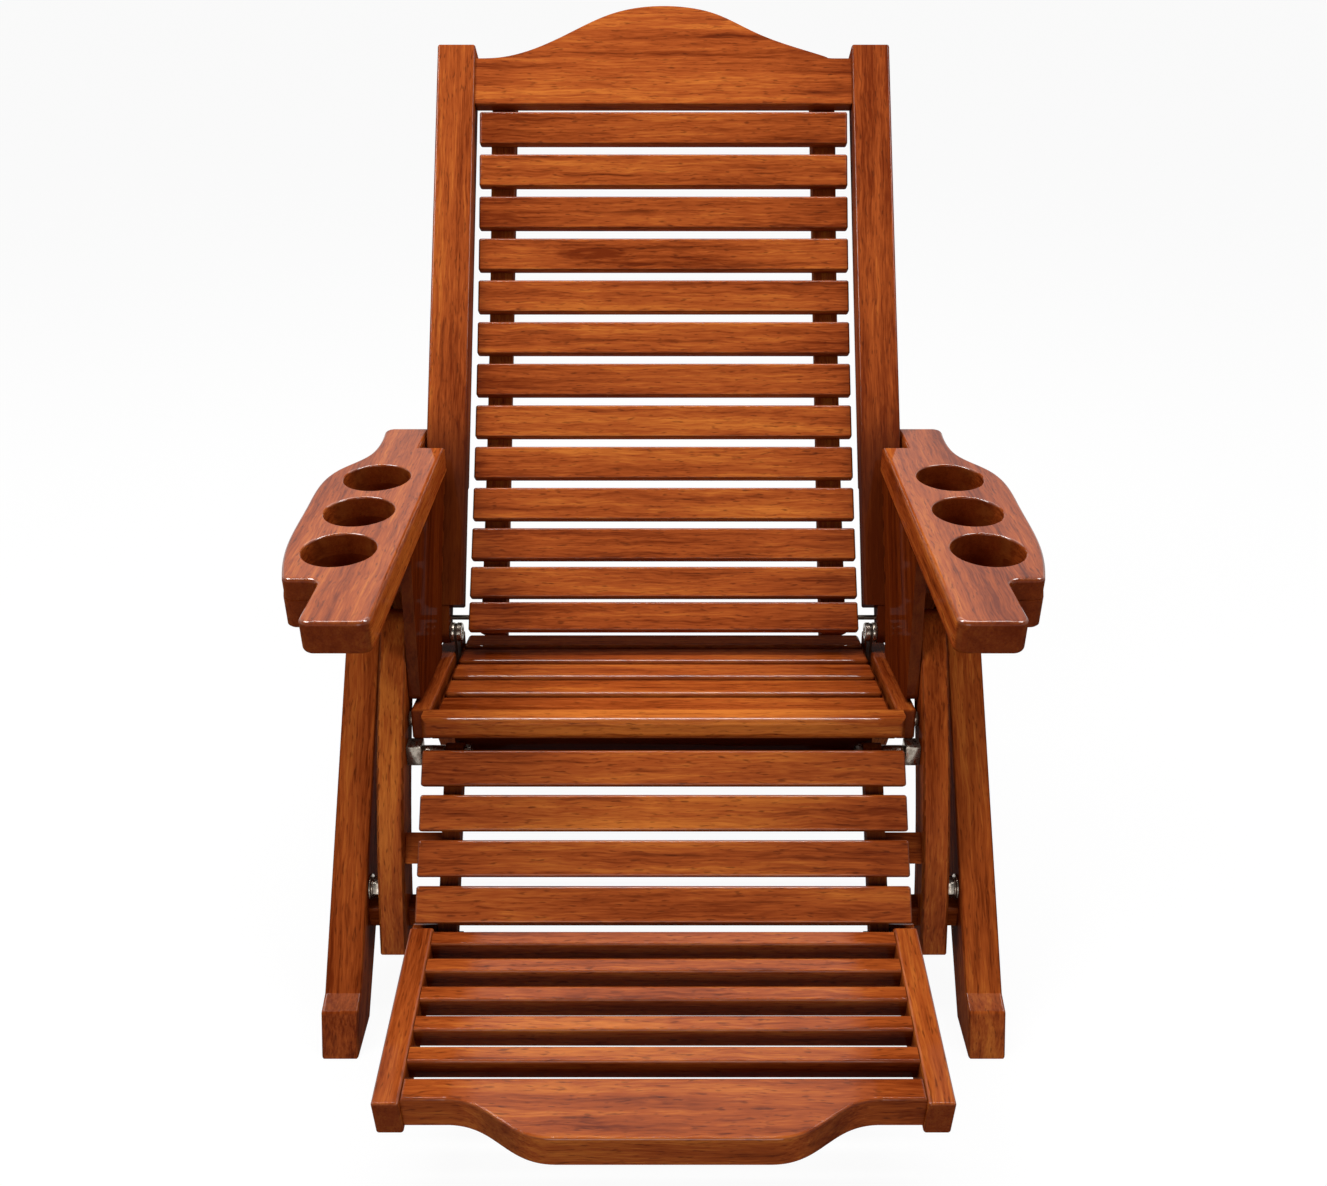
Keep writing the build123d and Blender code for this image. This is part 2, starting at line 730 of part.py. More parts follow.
    with BuildPart() as rack:
        with BuildSketch(Plane.YZ.offset(sign * rack_x)):
            with BuildLine():
                Polyline(
                    (y + rack_top_front, arm_bottom),
                    rack_front_foot,
                    rack_rear_foot,
                    rear_low,
                    rear_high,
                    close=True,
                )
            make_face()
            fillet(vertices().sort_by_distance(rack_front_foot)[0], rack_corner)
            fillet(vertices().sort_by_distance(rack_rear_foot)[0], rack_corner)
            for index in range(rack_scallops):
                share = (index + 1) / (rack_scallops + 1)
                notch_y = rear_low[0] + share * (rear_high[0] - rear_low[0])
                notch_z = rear_low[1] + share * (rear_high[1] - rear_low[1])
                with Locations((notch_y, notch_z)):
                    Circle(rack_scallop_r, mode=Mode.SUBTRACT)
        extrude(amount=rack_t / 2, both=True)
        with BuildSketch(Plane.YZ.offset(sign * rack_out)):
            with BuildLine():
                ThreePointArc(
                    slot_place(-slot_spare, slot_half),
                    slot_place(back_range / 2, slot_half),
                    slot_place(back_range + slot_spare, slot_half),
                )
                ThreePointArc(
                    slot_place(back_range + slot_spare, slot_half),
                    slot_place(back_range + slot_spare + slot_cap, 0),
                    slot_place(back_range + slot_spare, -slot_half),
                )
                ThreePointArc(
                    slot_place(back_range + slot_spare, -slot_half),
                    slot_place(back_range / 2, -slot_half),
                    slot_place(-slot_spare, -slot_half),
                )
                ThreePointArc(
                    slot_place(-slot_spare, -slot_half),
                    slot_place(-slot_spare - slot_cap, 0),
                    slot_place(-slot_spare, slot_half),
                )
            make_face()
        extrude(amount=-sign * (rack_t - rack_skin), mode=Mode.SUBTRACT)
    rack.part.label = f"rack_{side}"
    export_step(rack.part, f"parts/rack_{side}.step")

# Rear legs on a pivot inside the front legs, joined by a rail
rear_foot_y = seat_front_y + rear_foot
rear_lean = atan2(rear_axis[1], rear_foot_y - rear_axis[0])
rear_half = rear_leg_w / 2
rear_across = (rear_half * sin(rear_lean), rear_half * cos(rear_lean))
rear_sole = rear_half / sin(rear_lean)
for side, sign in SIDES:
    with BuildPart() as rear_leg:
        with BuildSketch(Plane.YZ.offset(sign * rear_leg_x)):
            with BuildLine():
                Polyline(
                    (rear_axis[0] - rear_across[0], rear_axis[1] - rear_across[1]),
                    (rear_foot_y - rear_sole, 0),
                    (rear_foot_y + rear_sole, 0),
                    (rear_axis[0] + rear_across[0], rear_axis[1] + rear_across[1]),
                    close=True,
                )
            make_face()
            with Locations(rear_axis):
                Circle(rear_half)
        extrude(amount=rear_leg_t / 2, both=True)
        fillet(rear_leg.faces().sort_by(Axis.X)[0].edges(), edge_round)
        fillet(rear_leg.faces().sort_by(Axis.X)[-1].edges(), edge_round)
        with BuildSketch(Plane.YZ.offset(sign * rear_leg_x)):
            with Locations(rear_axis):
                Circle(hole_r)
        extrude(amount=rear_leg_t, both=True, mode=Mode.SUBTRACT)
    rear_leg.part.label = f"rear_leg_{side}"
    export_step(rear_leg.part, f"parts/rear_leg_{side}.step")

rear_rail_y = rear_axis[0] + (rear_axis[1] - rear_rail_z) / sin(rear_lean) * cos(rear_lean)
with BuildPart() as rear_rail:
    with BuildSketch(Plane.YZ):
        with Locations(Location((rear_rail_y, rear_rail_z), -degrees(rear_lean))):
            RectangleRounded(rear_rail_w, rear_rail_t, edge_round)
    extrude(amount=rear_leg_x - rear_leg_t / 2, both=True)
rear_rail.part.label = "rear_rail"
export_step(rear_rail.part, "parts/rear_rail.step")

# Calf panel of equal slats on two battens
calf_plane = panel_plane(calf_point, calf_slope)
with BuildPart() as calf_slats:
    with BuildSketch(calf_plane):
        for index in range(calf_slat_count):
            with Locations((0, -index * calf_slat_pitch)):
                Rectangle(2 * calf_slat_half, calf_slat_width)
    extrude(amount=-calf_slat_t)
    fillet(calf_slats.edges(), edge_round)
calf_slats.part.label = "calf_slats"
export_step(calf_slats.part, "parts/calf_slats.step")

calf_top = calf_slat_width / 2
for side, sign in SIDES:
    with BuildPart() as calf_batten:
        with BuildSketch(Plane.YZ.offset(sign * calf_batten_x)):
            with BuildLine():
                Polyline(
                    on_panel(calf_point, calf_slope, calf_top, -calf_slat_t),
                    calf_axis,
                    on_panel(calf_point, calf_slope, 0, calf_back),
                    on_panel(calf_point, calf_slope, -calf_foot_down, calf_back),
                    on_panel(calf_point, calf_slope, -calf_foot_down, -calf_slat_t),
                    close=True,
                )
            make_face()
            with Locations(calf_axis):
                Circle(calf_ear_r)
            with Locations(foot_axis):
                Circle(calf_batten_depth / 2)
            with Locations(calf_axis, foot_axis):
                Circle(hole_r, mode=Mode.SUBTRACT)
        extrude(amount=calf_batten_w / 2, both=True)
    calf_batten.part.label = f"calf_batten_{side}"
    export_step(calf_batten.part, f"parts/calf_batten_{side}.step")

# Foot panel with slats and a humped front board between two rails
foot_plane = panel_plane(foot_point, foot_slope)
foot_rail_in = foot_rail_x - foot_rail_w / 2
for side, sign in SIDES:
    with BuildPart() as foot_rail:
        with BuildSketch(Plane.YZ.offset(sign * foot_rail_x)):
            with BuildLine():
                Polyline(
                    on_panel(foot_point, foot_slope, 0, 0),
                    on_panel(foot_point, foot_slope, -foot_rail_length, 0),
                    on_panel(foot_point, foot_slope, -foot_rail_length, -foot_rail_t),
                    on_panel(foot_point, foot_slope, 0, -foot_rail_t),
                    close=True,
                )
            make_face()
        extrude(amount=foot_rail_w / 2, both=True)
        fillet(foot_rail.edges(), edge_round)
        with BuildSketch(Plane.YZ.offset(sign * foot_rail_x)):
            with Locations(foot_axis):
                Circle(foot_ear_r)
        extrude(amount=foot_rail_w / 2, both=True)
        with BuildSketch(Plane.YZ.offset(sign * foot_rail_in)):
            with Locations(foot_axis):
                Circle(hole_r)
        extrude(amount=sign * foot_rail_w * blind_hole, mode=Mode.SUBTRACT)
    foot_rail.part.label = f"foot_rail_{side}"
    export_step(foot_rail.part, f"parts/foot_rail_{side}.step")

with BuildPart() as foot_slats:
    with BuildSketch(foot_plane):
        for index in range(foot_slat_count):
            with Locations((0, -foot_slat_first - foot_slat_width / 2 - index * foot_slat_pitch)):
                Rectangle(2 * foot_rail_in, foot_slat_width)
    extrude(amount=-foot_slat_t)
    fillet(foot_slats.edges().filter_by(Axis.X), edge_round)
foot_slats.part.label = "foot_slats"
export_step(foot_slats.part, "parts/foot_slats.step")

with BuildPart() as foot_board:
    with BuildSketch(foot_plane):
        with BuildLine():
            Line((-foot_rail_in, -foot_board_shoulder), (-foot_curve_out, -foot_board_shoulder))
            Spline(
                (-foot_curve_out, -foot_board_shoulder),
                (-foot_curve_in, -foot_board_front),
                tangents=((1, 0), (1, 0)),
            )
            Line((-foot_curve_in, -foot_board_front), (foot_curve_in, -foot_board_front))
            Spline(
                (foot_curve_in, -foot_board_front),
                (foot_curve_out, -foot_board_shoulder),
                tangents=((1, 0), (1, 0)),
            )
            Line((foot_curve_out, -foot_board_shoulder), (foot_rail_in, -foot_board_shoulder))
            Line((foot_rail_in, -foot_board_shoulder), (foot_rail_in, -foot_board_back))
            Line((foot_rail_in, -foot_board_back), (-foot_rail_in, -foot_board_back))
            Line((-foot_rail_in, -foot_board_back), (-foot_rail_in, -foot_board_shoulder))
        make_face()
    extrude(amount=-foot_board_t)
    foot_board_faces = foot_board.faces().sort_by(Axis.Z)
    fillet(foot_board_faces[-1].edges() + foot_board_faces[0].edges(), edge_round)
foot_board.part.label = "foot_board"
export_step(foot_board.part, "parts/foot_board.step")

# Bolts and pins
strap_in = seat_rail_in - strap_t
strap_out = seat_rail_out + strap_t
with BuildPart() as back_pivot_bolts:
    for side, sign in SIDES:
        rod(back_pivot, sign, strap_in - pivot_nut_t, strap_out + pivot_nut_t, bolt_r)
        rod(back_pivot, sign, strap_in - pivot_nut_t, strap_in, pivot_nut_r)
        rod(back_pivot, sign, strap_out, strap_out + pivot_nut_t, pivot_nut_r)
back_pivot_bolts.part.label = "back_pivot_bolts"
export_step(back_pivot_bolts.part, "parts/back_pivot_bolts.step")

strut_deep = strut_in + strut_t * blind_bolt
leg_deep = leg_in + leg_t * blind_bolt
with BuildPart() as frame_bolts:
    for side, sign in SIDES:
        rod(lower_axis, sign, strut_out - strut_t * blind_bolt, leg_deep, bolt_r)
        rod(seat_bolt_axis, sign, seat_rail_out - seat_rail_t * blind_bolt, strut_deep, bolt_r)
frame_bolts.part.label = "frame_bolts"
export_step(frame_bolts.part, "parts/frame_bolts.step")

calf_batten_in = calf_batten_x - calf_batten_w / 2
calf_batten_out = calf_batten_x + calf_batten_w / 2
sleeve_in = calf_slat_half + calf_sleeve_gap
with BuildPart() as spacer_rings:
    for side, sign in SIDES:
        ring(lower_axis, sign, strut_out, leg_in, ring_r)
        ring(seat_bolt_axis, sign, seat_rail_out, strut_in, head_r)
        ring(calf_axis, sign, calf_batten_out + spacer_gap, sleeve_in, calf_ring_r)
        ring(calf_axis, sign, sleeve_in, strut_in, calf_sleeve_r)
        ring(back_pivot, sign, seat_rail_in, tongue_x - tongue_t / 2 - pivot_gap, pivot_nut_r)
        ring(back_pivot, sign, tongue_x + tongue_t / 2 + pivot_gap, seat_rail_out, pivot_nut_r)
spacer_rings.part.label = "spacer_rings"
export_step(spacer_rings.part, "parts/spacer_rings.step")

groove_floor = rack_out - rack_t + rack_skin
with BuildPart() as guide_bolts:
    for side, sign in SIDES:
        rod(guide_axis, sign, groove_floor + rack_tip_gap, strut_deep, bolt_r)
guide_bolts.part.label = "guide_bolts"
export_step(guide_bolts.part, "parts/guide_bolts.step")

with BuildPart() as calf_pivot_bolts:
    for side, sign in SIDES:
        nut_in = calf_batten_in - spacer_gap
        rod(calf_axis, sign, nut_in - nut_t, strut_deep, bolt_r)
        rod(calf_axis, sign, nut_in - nut_t, nut_in, head_r)
calf_pivot_bolts.part.label = "calf_pivot_bolts"
export_step(calf_pivot_bolts.part, "parts/calf_pivot_bolts.step")

rear_leg_in = rear_leg_x - rear_leg_t / 2
with BuildPart() as rear_pivot_bolts:
    for side, sign in SIDES:
        head_out = rear_leg_in - spacer_gap
        rod(rear_axis, sign, head_out - head_t, leg_deep, bolt_r)
        rod(rear_axis, sign, head_out - head_t, head_out, head_r)
rear_pivot_bolts.part.label = "rear_pivot_bolts"
export_step(rear_pivot_bolts.part, "parts/rear_pivot_bolts.step")

with BuildPart() as arm_bolts:
    for side, sign in SIDES:
        neck_deep = neck_in + (neck_out - neck_in) * blind_bolt
        rod(arm_pivot, sign, stile_out - stile_w * blind_bolt, neck_deep, bolt_r)
arm_bolts.part.label = "arm_bolts"
export_step(arm_bolts.part, "parts/arm_bolts.step")

with BuildPart() as back_pins:
    for side, sign in SIDES:
        pin_end = tongue_x - tongue_t / 2 + back_pin_reach
        rod(pin_axis, sign, back_slat_half - back_pin_depth, pin_end, back_pin_r)
back_pins.part.label = "back_pins"
export_step(back_pins.part, "parts/back_pins.step")

with BuildPart() as foot_pins:
    for side, sign in SIDES:
        rod(foot_axis, sign, foot_pin_in, foot_rail_in + foot_rail_w * blind_bolt, bolt_r)
foot_pins.part.label = "foot_pins"
export_step(foot_pins.part, "parts/foot_pins.step")
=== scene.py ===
"""Looks of the slatted reclining lounge chair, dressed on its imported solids."""

import logging
import math
import random
from dataclasses import asdict, dataclass, field
from enum import Enum
from typing import ClassVar

import bmesh
import bpy
from mathutils import Euler, Matrix, Vector

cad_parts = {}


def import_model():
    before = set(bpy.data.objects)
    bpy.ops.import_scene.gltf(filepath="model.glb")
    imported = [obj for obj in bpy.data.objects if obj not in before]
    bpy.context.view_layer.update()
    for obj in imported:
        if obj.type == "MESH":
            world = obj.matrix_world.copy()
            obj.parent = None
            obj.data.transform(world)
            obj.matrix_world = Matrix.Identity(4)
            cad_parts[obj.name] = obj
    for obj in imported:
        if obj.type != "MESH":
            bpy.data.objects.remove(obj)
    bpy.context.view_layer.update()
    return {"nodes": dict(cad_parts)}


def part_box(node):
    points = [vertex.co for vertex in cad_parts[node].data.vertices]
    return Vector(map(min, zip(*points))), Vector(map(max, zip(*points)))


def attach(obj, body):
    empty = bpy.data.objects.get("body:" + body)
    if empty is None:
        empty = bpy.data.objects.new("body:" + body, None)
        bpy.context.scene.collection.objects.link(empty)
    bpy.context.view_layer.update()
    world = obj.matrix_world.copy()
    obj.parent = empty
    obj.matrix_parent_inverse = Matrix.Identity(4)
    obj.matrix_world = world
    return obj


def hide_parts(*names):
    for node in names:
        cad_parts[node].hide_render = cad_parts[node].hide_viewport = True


LOG = logging.getLogger("chair")
SIDES = ("left", "right")
TONE_SPREAD = 0.04
MERGE_DISTANCE = 0.00002
SHARP_ANGLE = math.radians(35.0)
WHITE = (1.0, 1.0, 1.0, 1.0)
HALVES = (0.5, 0.5, 0.5)

Colour = tuple[float, float, float]
Point = tuple[float, float, float]
Pair = tuple[float, float]
Tones = dict[str, float]


class GrainRun(Enum):
    """Which way the grain lies on a board."""

    ACROSS = "across the chair"
    ALONG = "up the slope of the board"


class Signal:
    """A shader value whose operators add Math nodes."""

    def __init__(self, graph: "Graph", socket: bpy.types.NodeSocket) -> None:
        """Wrap an output socket of a graph."""
        self.graph = graph
        self.socket = socket

    def _math(self, operation: str, *values: "Signal | float") -> "Signal":
        """Add one Math node, with its operands in socket order."""
        sockets = {index: value for index, value in enumerate(values)}
        return self.graph.value("ShaderNodeMath", {"operation": operation}, sockets)

    def __add__(self, other: "Signal | float") -> "Signal":
        """Sum."""
        return self._math("ADD", self, other)

    def __radd__(self, other: float) -> "Signal":
        """Sum with a number first."""
        return self._math("ADD", other, self)

    def __sub__(self, other: "Signal | float") -> "Signal":
        """Difference."""
        return self._math("SUBTRACT", self, other)

    def __rsub__(self, other: float) -> "Signal":
        """Difference from a number."""
        return self._math("SUBTRACT", other, self)

    def __mul__(self, other: "Signal | float") -> "Signal":
        """Product."""
        return self._math("MULTIPLY", self, other)

    def __rmul__(self, other: float) -> "Signal":
        """Product with a number first."""
        return self._math("MULTIPLY", other, self)

    def __truediv__(self, other: "Signal | float") -> "Signal":
        """Quotient."""
        return self._math("DIVIDE", self, other)

    def __abs__(self) -> "Signal":
        """Size without sign."""
        return self._math("ABSOLUTE", self)

    def highest(self, other: "Signal | float") -> "Signal":
        """The greater of two values."""
        return self._math("MAXIMUM", self, other)

    def lowest(self, other: "Signal | float") -> "Signal":
        """The lesser of two values."""
        return self._math("MINIMUM", self, other)

    def floored(self) -> "Signal":
        """The whole number below."""
        return self._math("FLOOR", self)

    def rooted(self) -> "Signal":
        """The square root."""
        return self._math("SQRT", self)

    def bounced(self, height: float) -> "Signal":
        """Fold the value up and down between zero and a height."""
        return self._math("PINGPONG", self, height)

    def eased(self, low: float, high: float) -> "Signal":
        """Rise smoothly from 0 to 1 between two values.

        Args:
            low: value that gives 0.
            high: value that gives 1.

        Returns:
            The eased value.
        """
        settings = {"interpolation_type": "SMOOTHSTEP"}
        sockets = {"Value": self, "From Min": low, "From Max": high}
        return self.graph.value("ShaderNodeMapRange", settings, sockets)


@dataclass(frozen=True)
class Noise:
    """How fine a noise is: cells per metre on each axis, octaves and weight of the finer ones."""

    cells: Point
    octaves: float
    rough: float = 0.5


class Graph:
    """The node tree of one material or world."""

    # Socket numbers of a Mix node that blends colours.
    MIX_FIRST = 6
    MIX_SECOND = 7
    MIX_RESULT = 2
    SHADE_SAMPLES = 6

    def __init__(self, owner: bpy.types.Material | bpy.types.World) -> None:
        """Start an empty tree.

        Args:
            owner: the material or world that gets the tree.
        """
        owner.use_nodes = True
        self.tree = owner.node_tree
        self.tree.nodes.clear()

    def node(
        self, kind: str, settings: dict | None = None, sockets: dict | None = None,
    ) -> bpy.types.Node:
        """Add a node.

        Args:
            kind: Blender's type name.
            settings: properties, set before the sockets; "stops" fills a colour ramp.
            sockets: values or links by socket name or number.

        Returns:
            The new node.
        """
        made = self.tree.nodes.new(kind)
        for name, value in (settings or {}).items():
            if name == "stops":
                self._fill_ramp(made, value)
            else:
                setattr(made, name, value)
        for name, value in (sockets or {}).items():
            target = made.inputs[name]
            if isinstance(value, Signal):
                self.tree.links.new(value.socket, target)
            elif isinstance(value, bpy.types.NodeSocket):
                self.tree.links.new(value, target)
            else:
                target.default_value = value
        return made

    def value(
        self, kind: str, settings: dict | None = None, sockets: dict | None = None, out: str | int = 0,
    ) -> Signal:
        """Add a node and wrap one of its outputs, given by name or number."""
        return Signal(self, self.node(kind, settings, sockets).outputs[out])

    @staticmethod
    def _fill_ramp(ramp: bpy.types.Node, stops: list[tuple[float, Colour]]) -> None:
        """Set the stops of a colour ramp.

        Args:
            ramp: the ramp's node.
            stops: places from 0 to 1 with their colours.
        """
        band = ramp.color_ramp
        while len(band.elements) > 1:
            band.elements.remove(band.elements[-1])
        for index, (place, colour) in enumerate(stops):
            stop = band.elements[0] if index == 0 else band.elements.new(place)
            stop.position = place
            stop.color = (*colour, 1.0)

    def tint(self, share: Signal, first: Signal | Colour, second: Colour) -> Signal:
        """Lay one colour over another.

        Args:
            share: share of the second colour.
            first: colour at 0.
            second: colour at 1.

        Returns:
            The blended colour.
        """
        under = first if isinstance(first, Signal) else (*first, 1.0)
        sockets = {0: share, self.MIX_FIRST: under, self.MIX_SECOND: (*second, 1.0)}
        return self.value("ShaderNodeMix", {"data_type": "RGBA"}, sockets, self.MIX_RESULT)

    def vector(self, operation: str, first: Signal, second: Signal | Point) -> Signal:
        """Add one Vector Math node."""
        sockets = {0: first, 1: second}
        return self.value("ShaderNodeVectorMath", {"operation": operation}, sockets)

    def split(self, vector: Signal) -> tuple[Signal, Signal, Signal]:
        """The three parts of a vector."""
        axes = self.node("ShaderNodeSeparateXYZ", {}, {0: vector})
        return tuple(Signal(self, axes.outputs[index]) for index in range(3))

    def noise(self, place: Signal, fineness: Noise, out: str = "Fac") -> Signal:
        """Noise stretched along its axes.

        Args:
            place: coordinates in metres.
            fineness: how fine the noise is.
            out: which output is taken.

        Returns:
            The noise.
        """
        sockets = {
            "Vector": self.vector("MULTIPLY", place, fineness.cells), "Scale": 1.0,
            "Detail": fineness.octaves, "Roughness": fineness.rough,
        }
        return self.value("ShaderNodeTexNoise", {}, sockets, out)

    def crowded(self, reach: float, band: Pair) -> Signal:
        """Find the corners and hollows.

        Args:
            reach: how near another surface has to be, in metres.
            band: open shares of the view that count as 1 and as 0.

        Returns:
            1 where surfaces stand close, 0 in the open.
        """
        settings = {"samples": self.SHADE_SAMPLES}
        view = self.value("ShaderNodeAmbientOcclusion", settings, {"Distance": reach}, "AO")
        return 1.0 - view.eased(*band)


@dataclass(frozen=True)
class Lie:
    """How a board lies in the chair: the frame that its grain is drawn in."""

    run: GrainRun
    slope: float = 0.0
    origin: Pair = (0.0, 0.0)
    pitch: float = 0.0
    # Heights between which painted shade fades in along the board, if any.
    shade_fade: Pair | None = None

    def turn(self) -> Euler:
        """Turn that lays the board's slope along Y."""
        return Euler((math.radians(-self.slope), 0.0, 0.0))

    def shift(self) -> Vector:
        """Move that puts the board's origin at zero after the turn."""
        return -(self.turn().to_matrix() @ Vector((0.0, *self.origin)))


@dataclass(frozen=True)
class Eye:
    """An oval figure in the grain: its middle and half sizes in metres, and its rings."""

    along: float
    across: float
    half_length: float
    half_width: float
    rings: float = 3.0
    sway: float = 0.36
    faintest: float = 0.25
    band: Pair = (1.15, 0.25)


@dataclass(frozen=True)
class Spot:
    """Coordinates and surface directions of a board, in its own frame."""

    flat: Signal
    tree: Signal
    end: Signal
    turned: Signal
    up: Signal
    lifted: Signal
    far: Signal | None
    # Mask of that painted shade, if any.
    shade_fade: Signal | None


@dataclass(frozen=True)
class Weights:
    """How much each part of the grain counts in a sum."""

    streak: float = 0.0
    thread: float = 0.0
    cloud: float = 0.0
    pores: float = 0.0
    rings: float = 0.0


@dataclass(frozen=True)
class Grain:
    """The parts of a board's grain, each from 0 to 1."""

    streak: Signal
    thread: Signal
    cloud: Signal
    pores: Signal
    rings: Signal

    def summed(self, weights: Weights) -> Signal:
        """Add up the parts that count.

        Args:
            weights: how much each part counts.

        Returns:
            The weighted sum.
        """
        counts = asdict(weights).items()
        terms = [getattr(self, name) * weight for name, weight in counts if weight]
        return sum(terms[1:], terms[0])


@dataclass(frozen=True)
class WoodFinish:
    """Varnished hardwood with fine straight grain. Lengths are metres; a band is (from, to)."""

    deep: Colour = (0.150, 0.021, 0.0030)
    mid: Colour = (0.345, 0.069, 0.0120)
    light: Colour = (0.555, 0.158, 0.0250)
    pore: Colour = (0.050, 0.008, 0.0020)
    # Lighter colour of spots on edges: partly rubbed varnish, partly a painted sheen.
    rubbed_and_sheen: Colour = (0.560, 0.160, 0.0300)
    # Colour of the painted shade laid in crowded hollows and on edges.
    corner: Colour = (0.090, 0.012, 0.0020)
    stops: Point = (0.14, 0.50, 0.88)
    streak: Noise = Noise((5.5, 125.0, 125.0), 3.0, 0.6)
    thread: Noise = Noise((30.0, 500.0, 500.0), 2.0, 0.6)
    cloud: Noise = Noise((1.7, 11.0, 11.0), 2.0)
    pores: Noise = Noise((75.0, 430.0, 430.0), 1.0)
    rubbing: Noise = Noise((45.0, 80.0, 80.0), 2.0)
    warp: Noise = Noise((2.4, 7.0, 7.0), 2.0)
    warp_width: float = 0.012
    ripple: Noise = Noise((22.0, 30.0, 30.0), 1.0)
    ripple_width: float = 0.0060
    swirl: Noise = Noise((30.0, 90.0, 30.0), 2.0)
    tone_weights: Weights = Weights(streak=0.85, thread=0.70, cloud=0.95, rings=0.14)
    tone_middle: float = 0.815
    rough_weights: Weights = Weights(thread=0.12, cloud=0.16)
    rough_middle: float = 0.14
    height_weights: Weights = Weights(streak=0.4, thread=0.5, pores=-0.6)
    pore_band: Pair = (0.58, 0.76)
    line_band: Pair = (0.40, 0.27)
    rub_band: Pair = (0.38, 0.62)
    end_band: Pair = (0.70, 0.95)
    turned_band: Pair = (0.02, 0.22)
    up_band: Pair = (0.10, 0.70)
    lifted_band: Pair = (0.52, 0.80)
    far_band: Pair = (0.12, 0.27)
    shade_band: Pair = (0.15, 0.85)
    far_dark: float = 0.16
    eye_dark: float = 0.52
    line_dark: float = 0.36
    pore_dark: float = 0.55
    darkest: float = 0.75
    # Edges darken towards the corner colour: partly varnish build-up, partly painted shade, less where
    # they face up.
    edge_dark_and_shade: float = 0.72
    lifted_edge_light: float = 0.40
    rub_and_sheen_light: float = 0.16
    rub_rough: float = 0.08
    end_dark: float = 0.70
    # Painted shade on the lower stiles.
    shade_fade_dark: float = 0.80
    ring_width: float = 0.012
    ring_lean: float = 0.05
    ring_shift: float = 0.03
    ring_seed: int = 500
    pith_depth: Pair = (0.025, 0.06)
    spread: Point = (9.0, 0.04, 0.03)
    board_step: float = 0.37
    board_spread: Pair = (7.0, 0.11)
    roughness: float = 0.34
    specular: float = 0.0
    coat_low: float = 0.02
    coat_high: float = 0.25
    coat_thin: float = 0.75
    coat_cloud: float = 0.5
    coat_roughness: float = 0.07
    coat_density: float = 2.0
    rim: float = 1.0
    # Painted shade: how far out a crowding surface counts, in metres, and how strongly it darkens.
    shade_reach: float = 0.030
    shade: float = 0.75
    bump: float = 0.22
    bump_depth: float = 0.0005

    def board(
        self, name: str, lie: Lie, seed: int, tone: float = 0.0, eye: Eye | None = None,
    ) -> bpy.types.Material:
        """Make the material of one board.

        Args:
            name: the board's name.
            lie: how the board lies.
            seed: picks the board's place in the tree.
            tone: lighter above 0, darker below.
            eye: an oval figure, if the board shows one.

        Returns:
            The material.
        """
        material = bpy.data.materials.new(f"wood_{name}")
        graph = Graph(material)
        spot = self._spot(graph, lie, seed)
        grain = self._grain(graph, spot.tree, seed)
        level = grain.summed(self.tone_weights) + (tone - self.tone_middle)
        if spot.far is not None:
            level = level - spot.far * self.far_dark
        if eye is not None:
            level = level - self._oval(graph, spot.flat, eye) * self.eye_dark
        # Lighter spots on edges: partly rubbed varnish, partly a painted sheen; they also roughen the
        # varnish.
        wear_and_sheen = spot.turned * graph.noise(spot.tree, self.rubbing).eased(*self.rub_band)
        rough = grain.summed(self.rough_weights) + wear_and_sheen * self.rub_rough
        bump = graph.value("ShaderNodeBump", {}, {
            "Strength": self.bump, "Distance": self.bump_depth,
            "Height": grain.summed(self.height_weights),
        })
        shader = graph.node("ShaderNodeBsdfPrincipled", {}, {
            "Base Color": self._colour(graph, spot, grain, level, wear_and_sheen),
            "Roughness": rough + (self.roughness - self.rough_middle), "Normal": bump,
            "Specular IOR Level": self.specular, "Coat Weight": self._gloss(spot, grain),
            "Coat Roughness": self.coat_roughness, "Coat IOR": self.coat_density,
        })
        graph.node("ShaderNodeOutputMaterial", {}, {"Surface": shader.outputs[0]})
        return material

    def _spot(self, graph: Graph, lie: Lie, seed: int) -> Spot:
        """Coordinates in metres with X along the grain and Z out of the board.

        Args:
            graph: the tree to add to.
            lie: how the board lies.
            seed: moves the board in the tree.

        Returns:
            The board's coordinates and surface directions.
        """
        chance = random.Random(seed)
        source = graph.node("ShaderNodeTexCoord")
        coords, normal = source.outputs["Object"], source.outputs["Normal"]
        sockets = {"Vector": coords, "Rotation": lie.turn(), "Location": lie.shift()}
        laid = graph.value("ShaderNodeMapping", {"vector_type": "POINT"}, sockets)
        side, rise, out = graph.split(laid)
        along, across = (side, rise) if lie.run is GrainRun.ACROSS else (rise, side)
        flat = graph.value("ShaderNodeCombineXYZ", {}, {0: along, 1: across, 2: out})
        if lie.pitch:
            sockets = {"W": (rise / lie.pitch + 0.5).floored() + seed * self.board_step}
            settings = {"noise_dimensions": "1D"}
            shift = graph.value("ShaderNodeTexWhiteNoise", settings, sockets, "Value")
            along = along + shift * self.board_spread[0]
            out = out + shift * self.board_spread[1]
        parts = enumerate(zip((along, across, out), self.spread))
        sockets = {axis: part + chance.uniform(-reach, reach) for axis, (part, reach) in parts}
        tree = graph.value("ShaderNodeCombineXYZ", {}, sockets)
        sockets = {"Vector": normal, "Rotation": lie.turn()}
        faced = graph.value("ShaderNodeMapping", {"vector_type": "NORMAL"}, sockets)
        face_side, face_rise, face_out = (abs(part) for part in graph.split(faced))
        end = face_side if lie.run is GrainRun.ACROSS else face_rise
        turned = 1.0 - face_side.highest(face_rise).highest(face_out)
        height = graph.split(Signal(graph, normal))[2]
        far = abs(side).eased(*self.far_band) if lie.run is GrainRun.ACROSS else None
        return Spot(
            flat, tree, end, turned.eased(*self.turned_band), height.eased(*self.up_band),
            height.eased(*self.lifted_band), far, rise.eased(*lie.shade_fade) if lie.shade_fade else None,
        )

